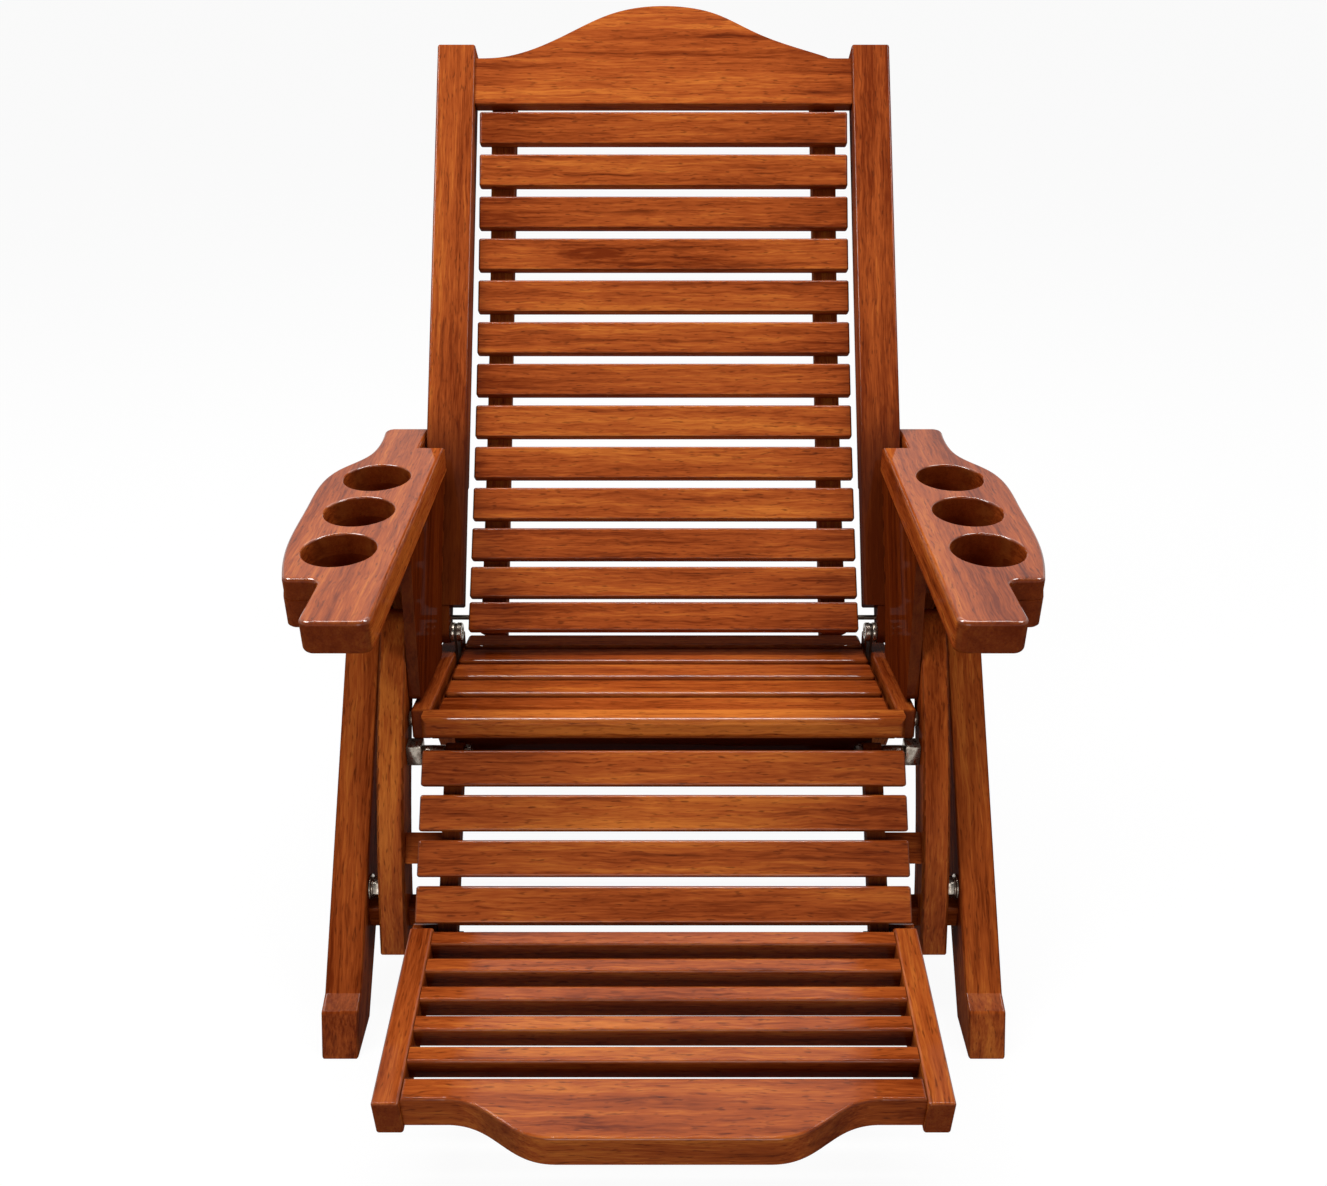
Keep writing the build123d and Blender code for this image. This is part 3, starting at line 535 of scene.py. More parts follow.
    def _grain(self, graph: Graph, place: Signal, seed: int) -> Grain:
        """Draw the grain of a board.

        Args:
            graph: the tree to add to.
            place: coordinates in the tree.
            seed: picks the pith's place.

        Returns:
            The parts of the grain.
        """
        swayed = place
        for fineness, width in ((self.warp, self.warp_width), (self.ripple, self.ripple_width)):
            drift = graph.vector("SUBTRACT", graph.noise(place, fineness, "Color"), HALVES)
            drift = graph.vector("MULTIPLY", drift, (0.0, width, width))
            swayed = graph.vector("ADD", swayed, drift)
        return Grain(
            streak=graph.noise(swayed, self.streak),
            thread=graph.noise(swayed, self.thread),
            cloud=graph.noise(place, self.cloud),
            pores=graph.noise(swayed, self.pores).eased(*self.pore_band),
            rings=self._rings(graph, swayed, seed),
        )

    def _rings(self, graph: Graph, swayed: Signal, seed: int) -> Signal:
        """Growth rings about a pith beside the board.

        Args:
            graph: the tree to add to.
            swayed: coordinates that follow the grain.
            seed: picks the pith's place.

        Returns:
            Ring brightness from 0 to 1.
        """
        chance = random.Random(seed + self.ring_seed)
        along, across, out = graph.split(swayed)
        lean = chance.uniform(-self.ring_lean, self.ring_lean)
        across = across + along * lean + chance.uniform(-self.ring_shift, self.ring_shift)
        depth = out + chance.uniform(*self.pith_depth)
        radius = (across * across + depth * depth).rooted()
        return (radius / self.ring_width).bounced(1.0)

    def _oval(self, graph: Graph, flat: Signal, eye: Eye) -> Signal:
        """Dark oval rings where the grain swirls round a knot.

        Args:
            graph: the tree to add to.
            flat: coordinates on the board.
            eye: the oval.

        Returns:
            Darkness from 0 to 1.
        """
        along, across, _ = graph.split(flat)
        sway = (graph.noise(flat, self.swirl) - 0.5) * eye.sway
        reach_along = (along - eye.along) / eye.half_length
        reach_across = (across - eye.across) / eye.half_width
        reach = (reach_along * reach_along + reach_across * reach_across).rooted() + sway
        ringed = eye.faintest + (1.0 - eye.faintest) * (reach * eye.rings).bounced(1.0)
        return reach.eased(*eye.band) * ringed

    def _colour(
        self, graph: Graph, spot: Spot, grain: Grain, level: Signal, wear_and_sheen: Signal,
    ) -> Signal:
        """Lay the colours of the board over each other.

        Args:
            graph: the tree to add to.
            spot: the board's surface directions.
            grain: the parts of its grain.
            level: lightness of the clean wood.
            wear_and_sheen: lighter spots on edges, partly rubbed varnish and partly a painted sheen.

        Returns:
            The colour.
        """
        stops = list(zip(self.stops, (self.deep, self.mid, self.light)))
        colour = graph.value("ShaderNodeValToRGB", {"stops": stops}, {0: level}, "Color")
        lines = grain.streak.eased(*self.line_band) * self.line_dark + grain.pores * self.pore_dark
        layers = [
            (lines.lowest(self.darkest), self.pore),
            # Edges: varnish build-up and painted shade, lighter where they face up.
            (spot.turned * (self.edge_dark_and_shade - spot.lifted * self.lifted_edge_light), self.corner),
            # Lighter spots on edges: rubbed varnish and a painted sheen.
            (wear_and_sheen * self.rub_and_sheen_light, self.rubbed_and_sheen),
            (spot.end.eased(*self.end_band) * self.end_dark, self.deep),
        ]
        # Painted shade: the lower stiles darken towards the pore colour.
        if spot.shade_fade is not None:
            layers.append((spot.shade_fade * self.shade_fade_dark, self.pore))
        # Painted shade where other surfaces stand close.
        layers.append((graph.crowded(self.shade_reach, self.shade_band) * self.shade, self.corner))
        for share, layer in layers:
            colour = graph.tint(share, colour, layer)
        return colour

    def _gloss(self, spot: Spot, grain: Grain) -> Signal:
        """Weight of the varnish coat: full on what faces up and on rounded upper edges.

        Args:
            spot: the board's surface directions.
            grain: the parts of its grain.

        Returns:
            The coat's weight.
        """
        facing = spot.up * (self.coat_high - self.coat_low) + self.coat_low
        patchy = (grain.cloud * self.coat_cloud + self.coat_thin).lowest(1.0)
        return (facing * patchy).highest(spot.turned * spot.lifted * self.rim)


@dataclass(frozen=True)
class SteelFinish:
    """Plated steel, a little worn, with stains. Lengths are metres; a band is (from, to)."""

    bright: Colour = (0.42, 0.37, 0.31)
    dull: Colour = (0.20, 0.165, 0.13)
    rust: Colour = (0.16, 0.060, 0.025)
    stains: Noise = Noise((170.0, 170.0, 170.0), 3.0, 0.6)
    stain_band: Pair = (0.38, 0.75)
    stain_rough: float = 0.20
    brushing: Noise = Noise((2600.0, 260.0, 260.0), 2.0)
    brush_rough: float = 0.12
    specks: Noise = Noise((620.0, 620.0, 620.0), 2.0)
    speck_band: Pair = (0.62, 0.72)
    speck_rust: float = 0.35
    speck_rough: float = 0.2
    speck_pit: float = 0.5
    crevice_reach: float = 0.007
    crevice_band: Pair = (0.25, 0.85)
    crevice_rust: float = 0.75
    crevice_dirt: float = 0.5
    roughness: float = 0.24
    rough_middle: float = 0.08
    bump: float = 0.12
    bump_depth: float = 0.0003

    def make(self, name: str) -> bpy.types.Material:
        """Make the material.

        Args:
            name: name of the pieces that take it.

        Returns:
            The material.
        """
        material = bpy.data.materials.new(f"steel_{name}")
        graph = Graph(material)
        coords = graph.value("ShaderNodeTexCoord", {}, {}, "Object")
        stain = graph.noise(coords, self.stains).eased(*self.stain_band)
        brushed = graph.noise(coords, self.brushing)
        speck = graph.noise(coords, self.specks).eased(*self.speck_band)
        crevice = graph.crowded(self.crevice_reach, self.crevice_band)
        colour = graph.tint(stain, self.bright, self.dull)
        colour = graph.tint(crevice * self.crevice_rust, colour, self.rust)
        colour = graph.tint(speck * self.speck_rust, colour, self.rust)
        rough = stain * self.stain_rough + brushed * self.brush_rough + speck * self.speck_rough
        bump = graph.value("ShaderNodeBump", {}, {
            "Strength": self.bump, "Distance": self.bump_depth,
            "Height": brushed - speck * self.speck_pit,
        })
        shader = graph.node("ShaderNodeBsdfPrincipled", {}, {
            "Base Color": colour, "Roughness": rough + (self.roughness - self.rough_middle),
            "Normal": bump, "Metallic": 1.0 - crevice * self.crevice_dirt,
        })
        graph.node("ShaderNodeOutputMaterial", {}, {"Surface": shader.outputs[0]})
        return material


def finished(shape: bmesh.types.BMesh, name: str, material: bpy.types.Material) -> bpy.types.Object:
    """Close a mesh and make its piece.

    Args:
        shape: the mesh in the making.
        name: the piece's name.
        material: its finish.

    Returns:
        The piece.
    """
    bmesh.ops.remove_doubles(shape, verts=shape.verts[:], dist=MERGE_DISTANCE)
    bmesh.ops.recalc_face_normals(shape, faces=shape.faces[:])
    mesh = bpy.data.meshes.new(name)
    shape.to_mesh(mesh)
    shape.free()
    mesh.materials.append(material)
    for face in mesh.polygons:
        face.use_smooth = True
    mesh.set_sharp_from_angle(angle=SHARP_ANGLE)
    piece = bpy.data.objects.new(name, mesh)
    bpy.context.scene.collection.objects.link(piece)
    return piece


def rounded(
    shape: bmesh.types.BMesh, edges: list[bmesh.types.BMEdge], width: float, segments: int,
) -> None:
    """Round some edges of a mesh.

    Args:
        shape: the mesh in the making.
        edges: the edges.
        width: width of the rounding.
        segments: steps across it.
    """
    bmesh.ops.bevel(
        shape, geom=edges, offset=width, offset_type="OFFSET", affect="EDGES", segments=segments,
        profile=0.5, material=-1,
    )


def cover(node: bpy.types.Object, material: bpy.types.Material) -> None:
    """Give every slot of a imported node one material."""
    for holder in node.material_slots:
        holder.material = material


@dataclass
class Boards:
    """Wooden nodes of one sub-assembly, each dressed as its own board."""

    # Set tones per node, partly the wood's own tone and partly painted light and shade; other nodes
    # get a random tone.
    TONES_AND_PAINTED_LIGHT: ClassVar[Tones] = {}

    finish: WoodFinish
    seed: int
    hidden: WoodFinish

    def lies(self) -> dict[str, Lie]:
        """The grain frame of each wooden node."""
        return {}

    def finish_of(self, name: str) -> WoodFinish:
        """The finish that a node wears."""
        return self.finish

    def tone_of(self, name: str) -> float:
        """How much lighter or darker than the rest a node is."""
        drawn = random.Random(f"{name} {self.seed}").uniform(-TONE_SPREAD, TONE_SPREAD)
        return self.TONES_AND_PAINTED_LIGHT.get(name, drawn)

    def eye_of(self, name: str) -> Eye | None:
        """The oval figure that a node shows."""
        return None

    def dress(self, nodes: dict[str, bpy.types.Object]) -> int:
        """Give every wooden node its own board.

        Args:
            nodes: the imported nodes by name.

        Returns:
            How many nodes were dressed.
        """
        lies = self.lies()
        for seed, (name, lie) in enumerate(lies.items(), self.seed):
            finish = self.finish_of(name)
            cover(nodes[name], finish.board(name, lie, seed, self.tone_of(name), self.eye_of(name)))
            LOG.info("wood on %s", name)
        return len(lies)


@dataclass
class Backrest(Boards):
    """Stiles, crest rail, battens and the hollow row of slats."""

    # Tones and painted shade: the right stile much darker than the left, on the side away from the
    # light.
    TONES_AND_PAINTED_LIGHT: ClassVar[Tones] = {
        "crest_rail": 0.02, "stile_left": -0.02, "stile_right": -0.23,
    }

    slope: float = 53.4
    slat_turn: float = 1.17
    # Painted shade: the stiles darken from 0.59 m down to 0.46 m up their slope, where the arms shade
    # them.
    stile_aged: Pair = (0.59, 0.46)
    slat_count: int = 13
    eyed_slat: int = 10
    eye: Eye = Eye(-0.096, 0.0, 0.078, 0.013)

    def lies(self) -> dict[str, Lie]:
        """The grain frame of each wooden node.

        Returns:
            The frames by node name.
        """
        found = {"crest_rail": Lie(GrainRun.ACROSS, self.slope)}
        for side in SIDES:
            found[f"stile_{side}"] = Lie(GrainRun.ALONG, self.slope, shade_fade=self.stile_aged)
            found[f"back_batten_{side}"] = Lie(GrainRun.ALONG, self.slope)
        for number in range(1, self.slat_count + 1):
            lie = Lie(GrainRun.ACROSS, self._slat_slope(number), self._slat_middle(number))
            found[f"back_slat_{number}"] = lie
        return found

    def _slat_slope(self, number: int) -> float:
        """Slope of a slat, counted from the seat, in degrees."""
        return self.slope + (number - (self.slat_count + 1) / 2) * self.slat_turn

    @staticmethod
    def _slat_middle(number: int) -> Pair:
        """Y and Z of the middle of a slat, counted from the seat."""
        low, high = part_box(f"back_slat_{number}")
        return ((low.y + high.y) / 2, (low.z + high.z) / 2)

    def finish_of(self, name: str) -> WoodFinish:
        """Plainer varnish on the battens behind the slats."""
        return self.hidden if "batten" in name else self.finish

    def eye_of(self, name: str) -> Eye | None:
        """The oval figure of the fourth slat from the top."""
        return self.eye if name == f"back_slat_{self.eyed_slat}" else None


@dataclass
class Seat(Boards):
    """Seat rails, cleats, slats, the rounded nosing and the arched apron under it."""

    # Tones and a painted highlight: the rounded nosing much lighter than the slats.
    TONES_AND_PAINTED_LIGHT: ClassVar[Tones] = {"seat_nosing": 0.19, "seat_slats": 0.04}

    painted_shade_wood: WoodFinish
    slope: float = -9.65
    first_slat: Pair = (-0.11345, 0.308)
    pitch: float = 0.050
    apron_half: float = 0.236
    apron_depth: Pair = (-0.137, -0.119)
    apron_height: Pair = (0.243, 0.290)
    apron_arch: float = 0.006
    apron_round: float = 0.0025
    apron_corner: float = math.radians(60.0)
    apron_seed: int = 20
    arch_steps: int = 24
    round_steps: int = 3

    def lies(self) -> dict[str, Lie]:
        """The grain frame of each wooden node.

        Returns:
            The frames by node name.
        """
        found = {
            "seat_nosing": Lie(GrainRun.ACROSS, self.slope),
            "seat_slats": Lie(GrainRun.ACROSS, self.slope, self.first_slat, self.pitch),
        }
        for side in SIDES:
            found[f"seat_rail_{side}"] = Lie(GrainRun.ALONG, self.slope)
            found[f"seat_cleat_{side}"] = Lie(GrainRun.ALONG, self.slope)
        return found

    def finish_of(self, name: str) -> WoodFinish:
        """Plainer varnish on the rails and below the slats."""
        return self.finish if name in ("seat_slats", "seat_nosing") else self.hidden

    def build(self) -> bpy.types.Object:
        """Make the arched apron between the cleats, under the first slat.

        Returns:
            The apron, riding the frame.
        """
        shape = bmesh.new()
        front, back = self.apron_depth
        low, high = self.apron_height
        outline = [(self.apron_half, high), (-self.apron_half, high)]
        for step in range(self.arch_steps + 1):
            part = 2.0 * step / self.arch_steps - 1.0
            outline.append((part * self.apron_half, low + self.apron_arch * (1.0 - part * part)))
        face = shape.faces.new([shape.verts.new((x, front, z)) for x, z in outline])
        made = bmesh.ops.extrude_face_region(shape, geom=[face])
        moved = [item for item in made["geom"] if isinstance(item, bmesh.types.BMVert)]
        bmesh.ops.translate(shape, vec=(0.0, back - front, 0.0), verts=moved)
        corners = [edge for edge in shape.edges if edge.calc_face_angle(0.0) > self.apron_corner]
        rounded(shape, corners, self.apron_round, self.round_steps)
        seed = self.seed + self.apron_seed
        # The apron wears the dark wood that paints the shade under the nosing.
        wood = self.painted_shade_wood.board("seat_apron", Lie(GrainRun.ACROSS), seed)
        piece = finished(shape, "seat_apron", wood)
        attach(piece, "frame")
        LOG.info("made %s", piece.name)
        return piece


@dataclass
class Armrests(Boards):
    """Arm boards, cup blocks and the grooved racks under them."""

    # Tones and painted shade: the right arm board darker than the left, the cup blocks under the
    # boards darker.
    TONES_AND_PAINTED_LIGHT: ClassVar[Tones] = {
        "arm_board_left": 0.03, "arm_board_right": -0.06,
        "cup_block_left": -0.16, "cup_block_right": -0.16,
    }

    painted_shade_wood: WoodFinish
    rack_slope: float = 53.4

    def lies(self) -> dict[str, Lie]:
        """The grain frame of each wooden node.

        Returns:
            The frames by node name.
        """
        found = {}
        for side in SIDES:
            found[f"arm_board_{side}"] = Lie(GrainRun.ALONG)
            found[f"cup_block_{side}"] = Lie(GrainRun.ALONG)
            found[f"rack_{side}"] = Lie(GrainRun.ALONG, self.rack_slope)
        return found

    def finish_of(self, name: str) -> WoodFinish:
        """Dark painted-shade wood on the racks under the arms, plainer varnish on the cup blocks.

        Args:
            name: the node.

        Returns:
            Its finish.
        """
        if name.startswith("rack"):
            return self.painted_shade_wood
        return self.finish if "board" in name else self.hidden


@dataclass
class LegFrame(Boards):
    """Front legs, struts, rear legs, rails, spacers and stops."""

    # Tones and painted shade: both front legs darker, the left one more, against the stronger lamp on
    # the left.
    TONES_AND_PAINTED_LIGHT: ClassVar[Tones] = {"front_leg_left": -0.15, "front_leg_right": -0.05}

    leg_slope: float = 48.4
    strut_slope: float = 61.5
    rear_slope: float = -61.6
    calf_slope: float = 48.8

    def lies(self) -> dict[str, Lie]:
        """The grain frame of each wooden node.

        Returns:
            The frames by node name.
        """
        found = {
            "front_rail": Lie(GrainRun.ACROSS),
            "leg_spacers": Lie(GrainRun.ACROSS),
            "calf_stops": Lie(GrainRun.ACROSS, self.calf_slope),
            "rear_rail": Lie(GrainRun.ACROSS, self.rear_slope),
        }
        for side in SIDES:
            found[f"front_leg_{side}"] = Lie(GrainRun.ALONG, self.leg_slope)
            found[f"strut_{side}"] = Lie(GrainRun.ALONG, self.strut_slope)
            found[f"rear_leg_{side}"] = Lie(GrainRun.ALONG, self.rear_slope)
        return found

    def finish_of(self, name: str) -> WoodFinish:
        """Full varnish on the front legs and struts, plainer on what lies behind."""
        return self.finish if name.startswith(("front_leg", "strut")) else self.hidden


@dataclass
class LegRest(Boards):
    """Calf panel and tipping foot panel."""

    # Tones and painted light: the calf and foot boards a little lighter.
    TONES_AND_PAINTED_LIGHT: ClassVar[Tones] = {
        "calf_slats": 0.05, "foot_slats": 0.04, "foot_board": 0.09,
    }

    trodden: WoodFinish
    calf_slope: float = 48.8
    calf_first: Pair = (-0.18745, 0.266)
    calf_pitch: float = 0.0483
    foot_slope: float = 4.7
    foot_first: Pair = (-0.3119, 0.139)
    foot_pitch: float = 0.0352

    def lies(self) -> dict[str, Lie]:
        """The grain frame of each wooden node.

        Returns:
            The frames by node name.
        """
        found = {
            "calf_slats": Lie(GrainRun.ACROSS, self.calf_slope, self.calf_first, self.calf_pitch),
            "foot_slats": Lie(GrainRun.ACROSS, self.foot_slope, self.foot_first, self.foot_pitch),
            "foot_board": Lie(GrainRun.ACROSS, self.foot_slope),
        }
        for side in SIDES:
            found[f"calf_batten_{side}"] = Lie(GrainRun.ALONG, self.calf_slope)
            found[f"foot_rail_{side}"] = Lie(GrainRun.ALONG, self.foot_slope)
        return found

    def finish_of(self, name: str) -> WoodFinish:
        """Plainer varnish on the calf battens, a duller one under the feet.

        Args:
            name: the node.

        Returns:
            Its finish.
        """
        if "batten" in name:
            return self.hidden
        return self.trodden if name.startswith("foot") else self.finish


@dataclass
class Forge:
    """Small steel shapes on axes across the chair, made on one side of it at a time.

    An axis is (Y, Z) and a span is (X, X), in metres and as on the right side. A sign of -1
    puts the shapes on the left.
    """

    # Corners of a broken edge, inward and down, as shares of its cut.
    BROKEN: ClassVar[tuple[Pair, ...]] = ((0.0, 1.0), (0.4, 0.3), (1.0, 0.0))

    sign: float = 1.0
    steps: int = 40
    core: float = 0.0002
    ring_break: float = 0.0009
    ring_share: float = 0.3
    nut_round: float = 0.0008
    block_round: float = 0.0015
    round_steps: int = 2
    thread_pitch: float = 0.0009
    root: float = 0.86
    tip: float = 0.0008
    tip_flat: float = 0.55
    tip_edge: float = 0.82
    shape: bmesh.types.BMesh = field(default_factory=bmesh.new)

    def turned(self, axis: Pair, outline: list[Pair]) -> None:
        """Turn a closed outline about an axis.

        Args:
            axis: the axis.
            outline: (X, radius) corners in order.
        """
        y, z = axis
        corners = [self.shape.verts.new((self.sign * x, y, z + radius)) for x, radius in outline]
        sides = [self.shape.edges.new(pair) for pair in zip(corners, corners[1:] + corners[:1])]
        bmesh.ops.spin(
            self.shape, geom=corners + sides, cent=(0.0, y, z), axis=(1.0, 0.0, 0.0),
            angle=math.tau, steps=self.steps, use_merge=True,
        )

    def ring(self, axis: Pair, span: Pair, radius: float, bore: float) -> None:
        """Turn a ring with broken outer edges.

        Args:
            axis: the axis.
            span: from face to face.
            radius: outer radius.
            bore: inner radius.
        """
        low, high = span
        cut = min(self.ring_break, (high - low) * self.ring_share)
        rise = [(low + cut * inward, radius - cut * down) for inward, down in self.BROKEN]
        fall = [(high - cut * inward, radius - cut * down) for inward, down in self.BROKEN[::-1]]
        self.turned(axis, [(low, bore), *rise, *fall, (high, bore)])

    def nut(self, axis: Pair, span: Pair, radius: float) -> None:
        """Make a hexagon nut with bevelled corners.

        Args:
            axis: the axis.
            span: from face to face.
            radius: from the axis to a corner.
        """
        made = bmesh.ops.create_cone(
            self.shape, cap_ends=True, segments=6, radius1=radius, radius2=radius,
            depth=span[1] - span[0],
            matrix=self._middle(axis, span) @ Matrix.Rotation(math.pi / 2, 4, "Y"),
        )
        self._eased(made["verts"], self.nut_round)

    def block(self, axis: Pair, span: Pair, half: Pair) -> None:
        """Make a square sleeve with rounded corners.

        Args:
            axis: the axis.
            span: from face to face.
            half: half its depth and half its height.
        """
        size = Matrix.Diagonal((span[1] - span[0], 2.0 * half[0], 2.0 * half[1], 1.0))
        place = self._middle(axis, span) @ size
        made = bmesh.ops.create_cube(self.shape, size=1.0, matrix=place)
        self._eased(made["verts"], self.block_round)

    def _middle(self, axis: Pair, span: Pair) -> Matrix:
        """The move to the middle of a span on an axis."""
        return Matrix.Translation((self.sign * (span[0] + span[1]) / 2, *axis))

    def _eased(self, corners: list[bmesh.types.BMVert], width: float) -> None:
        """Round every edge of a shape that was just made, given its corners."""
        edges = dict.fromkeys(edge for corner in corners for edge in corner.link_edges)
        rounded(self.shape, list(edges), width, self.round_steps)

    def thread(self, axis: Pair, span: Pair, radius: float) -> None:
        """Turn a bolt end with thread ridges and a domed tip.

        Args:
            axis: the axis.
            span: from the tip to the other end.
            radius: over the ridges.
        """
        start, end = span
        way = math.copysign(1.0, end - start)
        pitch, root = self.thread_pitch, radius * self.root
        outline = [
            (start, self.core), (start, radius * self.tip_flat),
            (start + way * self.tip, radius * self.tip_edge),
        ]
        for number in range(int((abs(end - start) - self.tip) / pitch)):
            foot = start + way * (self.tip + number * pitch)
            outline += [(foot + way * pitch / 2, radius), (foot + way * pitch, root)]
        outline += [(end, root), (end, self.core)]
        self.turned(axis, outline)


@dataclass
class Hardware:
    """Bolts, nuts, washers and spacer sleeves. Sizes are metres, and places X on the right side."""

    DRESSED: ClassVar[tuple[str, ...]] = (
        "frame_bolts", "guide_bolts", "rear_pivot_bolts", "arm_bolts", "back_pins", "foot_pins",
        "hinge_straps",
    )

    steel: SteelFinish
    dark: SteelFinish
    shank: float = 0.005
    bore: float = 0.0052
    thread_proud: float = 0.0006
    thread_sunk: float = 0.001
    back_axis: Pair = (0.036965, 0.306721)
    back_in: float = 0.255
    back_out: float = 0.283
    back_nut: float = 0.006
    back_nut_r: float = 0.012
    head_break: float = 0.0012
    head_foot: Pair = (0.0003, 0.0004)
    socket_depth: float = 0.0032
    socket_r: float = 0.0050
    socket_mouth: Pair = (0.0004, 0.0054)
    socket_rim: float = 0.0060
    bush_in: Pair = (0.258, 0.2636)
    bush_out: Pair = (0.2744, 0.280)
    lower_axis: Pair = (-0.22045, 0.126)
    lower_gap: Pair = (0.315, 0.329)
    lower_r: float = 0.014
    lower_nut: float = 0.9
    washer: float = 0.0022
    collar: float = 0.002
    collar_share: float = 0.78
    seat_axis: Pair = (-0.12945, 0.292)
    seat_gap: Pair = (0.280, 0.285)
    seat_r: float = 0.009
    calf_axis: Pair = (-0.156068, 0.265108)
    calf_tube: Pair = (0.243, 0.2675)
    calf_tube_r: float = 0.0075
    calf_sleeve: Pair = (0.2675, 0.285)
    calf_sleeve_half: Pair = (0.0095, 0.0125)
    calf_nut: Pair = (0.213, 0.221)
    calf_nut_r: float = 0.009
    calf_end: float = 0.3075

    def build(self) -> int:
        """Make the fittings that show, in place of their plain nodes.

        Returns:
            How many pieces were made.
        """
        steel = self.steel.make("fittings")
        makers = {
            "back_pivot_bolts": self._back_pivots,
            "spacer_rings": self._rings,
            "calf_pivot_bolts": self._calf_pivots,
        }
        for name, make in makers.items():
            forge = Forge()
            for sign in (-1.0, 1.0):
                forge.sign = sign
                make(forge)
            piece = finished(forge.shape, f"turned_{name}", steel)
            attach(piece, "frame")
            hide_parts(name)
            LOG.info("made %s", piece.name)
        return len(makers)

    def _back_pivots(self, forge: Forge) -> None:
        """Bolt through tongue and straps, a nut outside and a socket head inside.

        Args:
            forge: makes the shapes.
        """
        inner, outer = self.back_in - self.back_nut, self.back_out + self.back_nut
        bottom = inner + self.socket_depth
        mouth, mouth_r = self.socket_mouth
        foot, foot_drop = self.head_foot
        outline = [
            (bottom, forge.core), (bottom, self.socket_r), (inner + mouth, mouth_r),
            (inner, self.socket_rim), (inner, self.back_nut_r - self.head_break),
            (inner + self.head_break, self.back_nut_r), (self.back_in - foot, self.back_nut_r),
            (self.back_in, self.back_nut_r - foot_drop), (self.back_in, self.shank),
            (self.back_out, self.shank), (self.back_out, forge.core),
        ]
        forge.turned(self.back_axis, outline)
        forge.nut(self.back_axis, (self.back_out, outer - self.thread_proud), self.back_nut_r)
        forge.thread(self.back_axis, (outer, self.back_out + self.thread_sunk), self.shank)

    def _rings(self, forge: Forge) -> None:
        """Bushes, washers and sleeves between the boards.

        Args:
            forge: makes the shapes.
        """
        near, far = self.lower_gap
        nut_start, collar_end = near + self.washer, far - self.washer
        collar_start = collar_end - self.collar
        rings = (
            (self.back_axis, self.bush_in, self.back_nut_r),
            (self.back_axis, self.bush_out, self.back_nut_r),
            (self.lower_axis, (near, nut_start), self.lower_r),
            (self.lower_axis, (collar_end, far), self.lower_r),
            (self.lower_axis, (collar_start, collar_end), self.lower_r * self.collar_share),
            (self.seat_axis, self.seat_gap, self.seat_r),
            (self.calf_axis, self.calf_tube, self.calf_tube_r),
        )
        for axis, span, radius in rings:
            forge.ring(axis, span, radius, self.bore)
        forge.nut(self.lower_axis, (nut_start, collar_start), self.lower_r * self.lower_nut)
        forge.block(self.calf_axis, self.calf_sleeve, self.calf_sleeve_half)

    def _calf_pivots(self, forge: Forge) -> None:
        """Pivot pins of the calf panel with a nut inside.

        Args:
            forge: makes the shapes.
        """
        start, end = self.calf_nut
        forge.nut(self.calf_axis, (start + self.thread_proud, end), self.calf_nut_r)
        forge.thread(self.calf_axis, self.calf_nut, self.shank)
        forge.turned(self.calf_axis, [
            (end, forge.core), (end, self.shank), (self.calf_end, self.shank),
            (self.calf_end, forge.core),
        ])

    def dress(self, nodes: dict[str, bpy.types.Object]) -> int:
        """Give the steel nodes that stay their finish.

        Args:
            nodes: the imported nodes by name.

        Returns:
            How many nodes were dressed.
        """
        material = self.dark.make("straps_and_pins")
        for name in self.DRESSED:
            cover(nodes[name], material)
            LOG.info("steel on %s", name)
        return len(self.DRESSED)


@dataclass(frozen=True)
class Lamp:
    """One soft lamp, square unless its depth is given."""

    name: str
    place: Point
    size: float
    power: float
    depth: float | None = None
    aim: Point = (0.0, 0.0, 0.4)

    def hang(self) -> None:
        """Put the lamp in the scene."""
        data = bpy.data.lights.new(self.name, "AREA")
        data.shape = "RECTANGLE"
        data.size = self.size
        data.size_y = self.depth or self.size
        data.energy = self.power
        lamp = bpy.data.objects.new(self.name, data)
        lamp.location = self.place
        way = Vector(self.aim) - Vector(self.place)
        lamp.rotation_euler = way.to_track_quat("-Z", "Y").to_euler()
        bpy.context.scene.collection.objects.link(lamp)


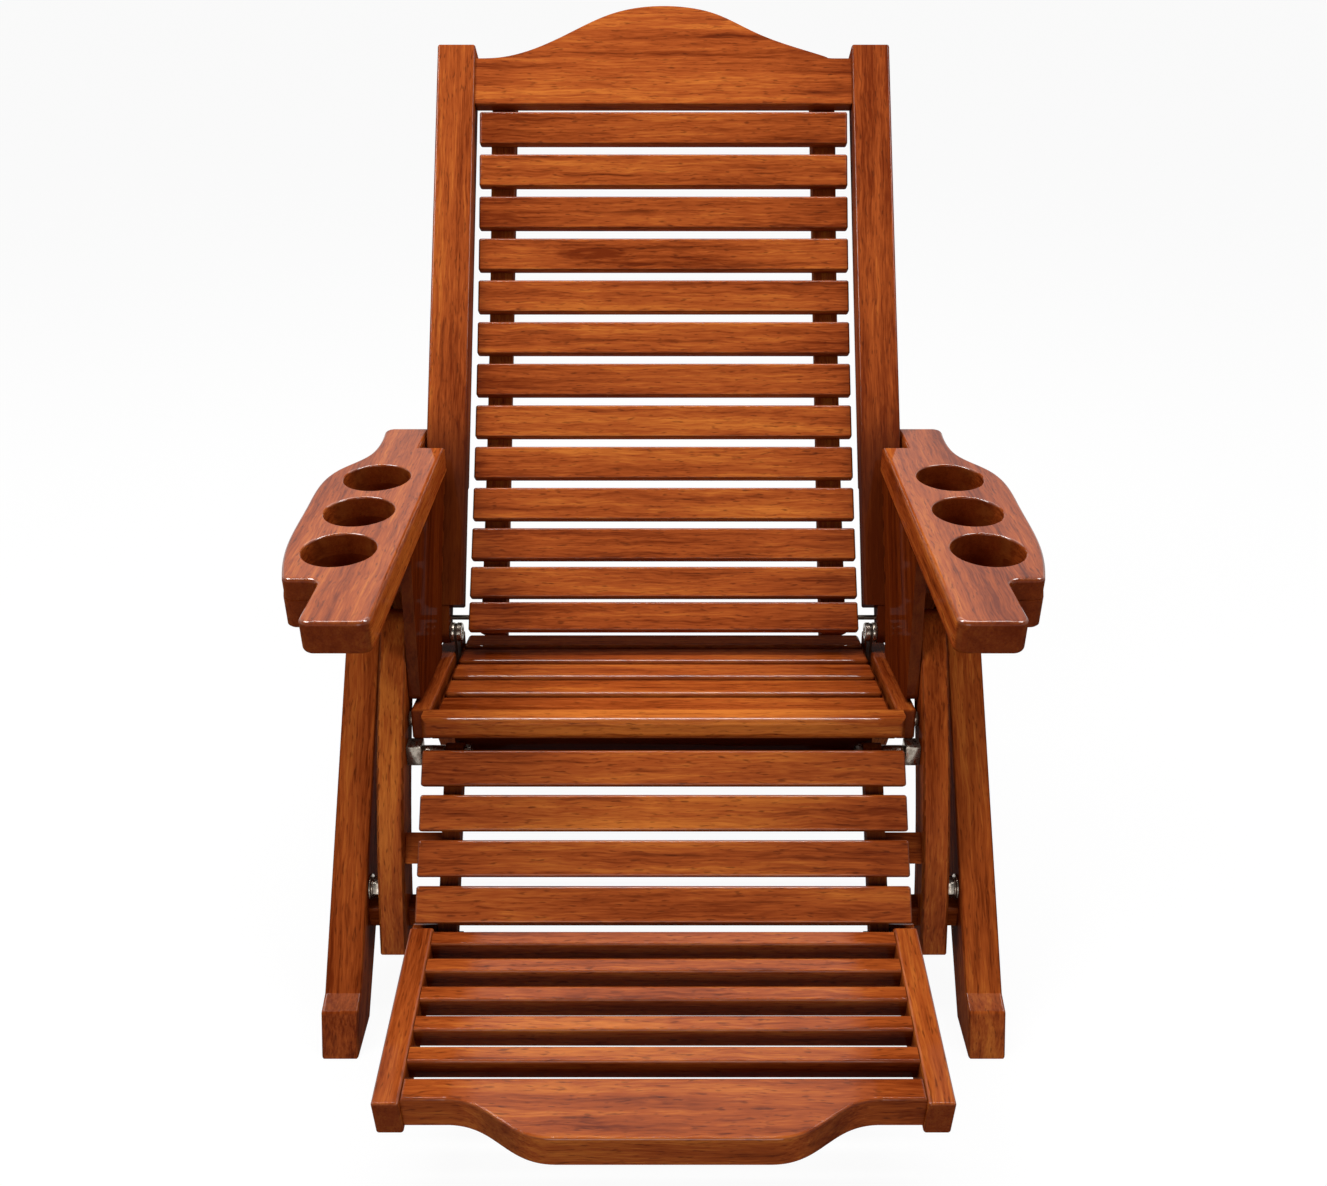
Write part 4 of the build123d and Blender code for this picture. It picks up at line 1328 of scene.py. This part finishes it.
@dataclass
class Studio:
    """Floor, light and camera."""

    SEEN: ClassVar[tuple[str, ...]] = ("Is Camera Ray", "Is Glossy Ray", "Is Transmission Ray")

    floor_size: float = 60.0
    floor_grey: float = 0.42
    floor_glow: float = 0.86
    floor_light: float = 1.10
    lens: float = 32.66
    sensor: float = 36.0
    eye: Point = (0.0, -1.25145, 1.063)
    pitch: float = 61.44
    dim: float = 0.12
    bright: float = 0.80
    around: float = 0.26
    behind_band: Pair = (-0.15, 0.30)
    horizon_band: Pair = (0.42, 0.18)
    lamps: tuple[Lamp, ...] = (
        Lamp("lamp_left", (-1.65, -0.35, 2.75), 1.1, 42.0),
        Lamp("lamp_right", (1.70, -0.30, 2.75), 1.1, 27.0),
        Lamp("lamp_above", (0.0, 0.15, 3.1), 2.2, 41.0, 0.25),
        Lamp("lamp_front", (0.0, -2.5, 0.95), 1.2, 12.0),
        Lamp("lamp_behind", (0.0, 1.7, 2.9), 1.4, 12.0),
    )

    def build(self) -> None:
        """Set up everything round the chair."""
        scene = bpy.context.scene
        scene.view_settings.view_transform = "Standard"
        self._floor()
        self._world(scene)
        for lamp in self.lamps:
            lamp.hang()
        self._camera(scene)

    def _seen(self, graph: Graph) -> Signal:
        """Tell what the camera sees, directly, mirrored or through glass.

        Args:
            graph: the tree to add to.

        Returns:
            1 for what is seen, 0 for what only gives light.
        """
        path = graph.node("ShaderNodeLightPath")
        direct, mirrored, through = (Signal(graph, path.outputs[name]) for name in self.SEEN)
        return direct.highest(mirrored).highest(through)

    def _floor(self) -> None:
        """Lay the pale floor, white to the camera but keeping the shadow."""
        mesh = bpy.data.meshes.new("floor")
        shape = bmesh.new()
        bmesh.ops.create_grid(shape, x_segments=1, y_segments=1, size=self.floor_size / 2)
        shape.to_mesh(mesh)
        shape.free()
        floor = bpy.data.objects.new("floor", mesh)
        bpy.context.scene.collection.objects.link(floor)
        material = bpy.data.materials.new("pale_floor")
        graph = Graph(material)
        matt = graph.node("ShaderNodeBsdfDiffuse", {}, {"Color": (*(self.floor_grey,) * 3, 1.0)})
        glow = graph.node("ShaderNodeEmission", {}, {"Color": WHITE, "Strength": self.floor_light})
        share = self._seen(graph) * self.floor_glow
        sockets = {0: share, 1: matt.outputs[0], 2: glow.outputs[0]}
        both = graph.node("ShaderNodeMixShader", {}, sockets)
        graph.node("ShaderNodeOutputMaterial", {}, {"Surface": both.outputs[0]})
        mesh.materials.append(material)

    def _world(self, scene: bpy.types.Scene) -> None:
        """Surroundings, bright behind the chair and near the horizon, dim overhead in front.

        Args:
            scene: the scene that gets them.
        """
        world = bpy.data.worlds.new("studio")
        scene.world = world
        graph = Graph(world)
        coords = graph.value("ShaderNodeTexCoord", {}, {}, "Object")
        _, back, up = graph.split(coords)
        bright = back.eased(*self.behind_band).highest(up.eased(*self.horizon_band))
        shown = bright * (self.bright - self.dim) + self.dim
        strength = shown * (self._seen(graph) * (1.0 - self.around) + self.around)
        around = graph.node("ShaderNodeBackground", {}, {"Color": WHITE, "Strength": strength})
        graph.node("ShaderNodeOutputWorld", {}, {"Surface": around.outputs[0]})

    def _camera(self, scene: bpy.types.Scene) -> None:
        """Stand the camera where the photograph was taken from.

        Args:
            scene: the scene that gets it.
        """
        data = bpy.data.cameras.new("camera")
        data.lens = self.lens
        data.sensor_width = self.sensor
        data.sensor_fit = "HORIZONTAL"
        camera = bpy.data.objects.new("camera", data)
        camera.location = self.eye
        camera.rotation_euler = (math.radians(self.pitch), 0.0, 0.0)
        scene.collection.objects.link(camera)
        scene.camera = camera


def main() -> None:
    """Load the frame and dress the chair."""
    logging.basicConfig(level=logging.INFO, format="%(name)s: %(message)s")
    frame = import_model()
    nodes = frame["nodes"]
    varnish = WoodFinish()
    # plainer: less coat, and painted shade that reaches further.
    plainer = WoodFinish(roughness=0.50, coat_high=0.06, rim=0.2, shade_reach=0.06)
    # sat_on: little coat, and strong painted shade in the narrow gaps between the seat slats.
    sat_on = WoodFinish(coat_high=0.02, rim=0.60, shade_reach=0.016, shade=0.95)
    handled = WoodFinish(coat_high=0.55)
    trodden = WoodFinish(coat_high=0.12)
    scuffed = WoodFinish(coat_high=0.04, rim=0.35)
    # Dark wood that paints shade: its colours and strong crowding shade stand in for shadow on the
    # racks under the arms and on the apron under the nosing.
    painted_shade_wood = WoodFinish(
        deep=(0.030, 0.004, 0.0008), mid=(0.110, 0.017, 0.0025), light=(0.180, 0.034, 0.0045),
        roughness=0.45, coat_high=0.06, rim=0.3, shade_reach=0.10, shade=0.90,
    )
    blackened = SteelFinish(
        bright=(0.075, 0.062, 0.050), dull=(0.035, 0.028, 0.022), roughness=0.38,
    )
    seat = Seat(sat_on, seed=40, hidden=plainer, painted_shade_wood=painted_shade_wood)
    assemblies = (
        Backrest(varnish, seed=10, hidden=plainer),
        seat,
        Armrests(handled, seed=60, hidden=plainer, painted_shade_wood=painted_shade_wood),
        LegFrame(scuffed, seed=80, hidden=plainer),
        LegRest(varnish, seed=110, hidden=plainer, trodden=trodden),
    )
    for assembly in assemblies:
        LOG.info("%s: %d boards", type(assembly).__name__, assembly.dress(nodes))
    seat.build()
    hardware = Hardware(SteelFinish(), blackened)
    LOG.info("fittings: %d made, %d dressed", hardware.build(), hardware.dress(nodes))
    Studio().build()
    bpy.context.view_layer.update()


if __name__ == "__main__":
    main()
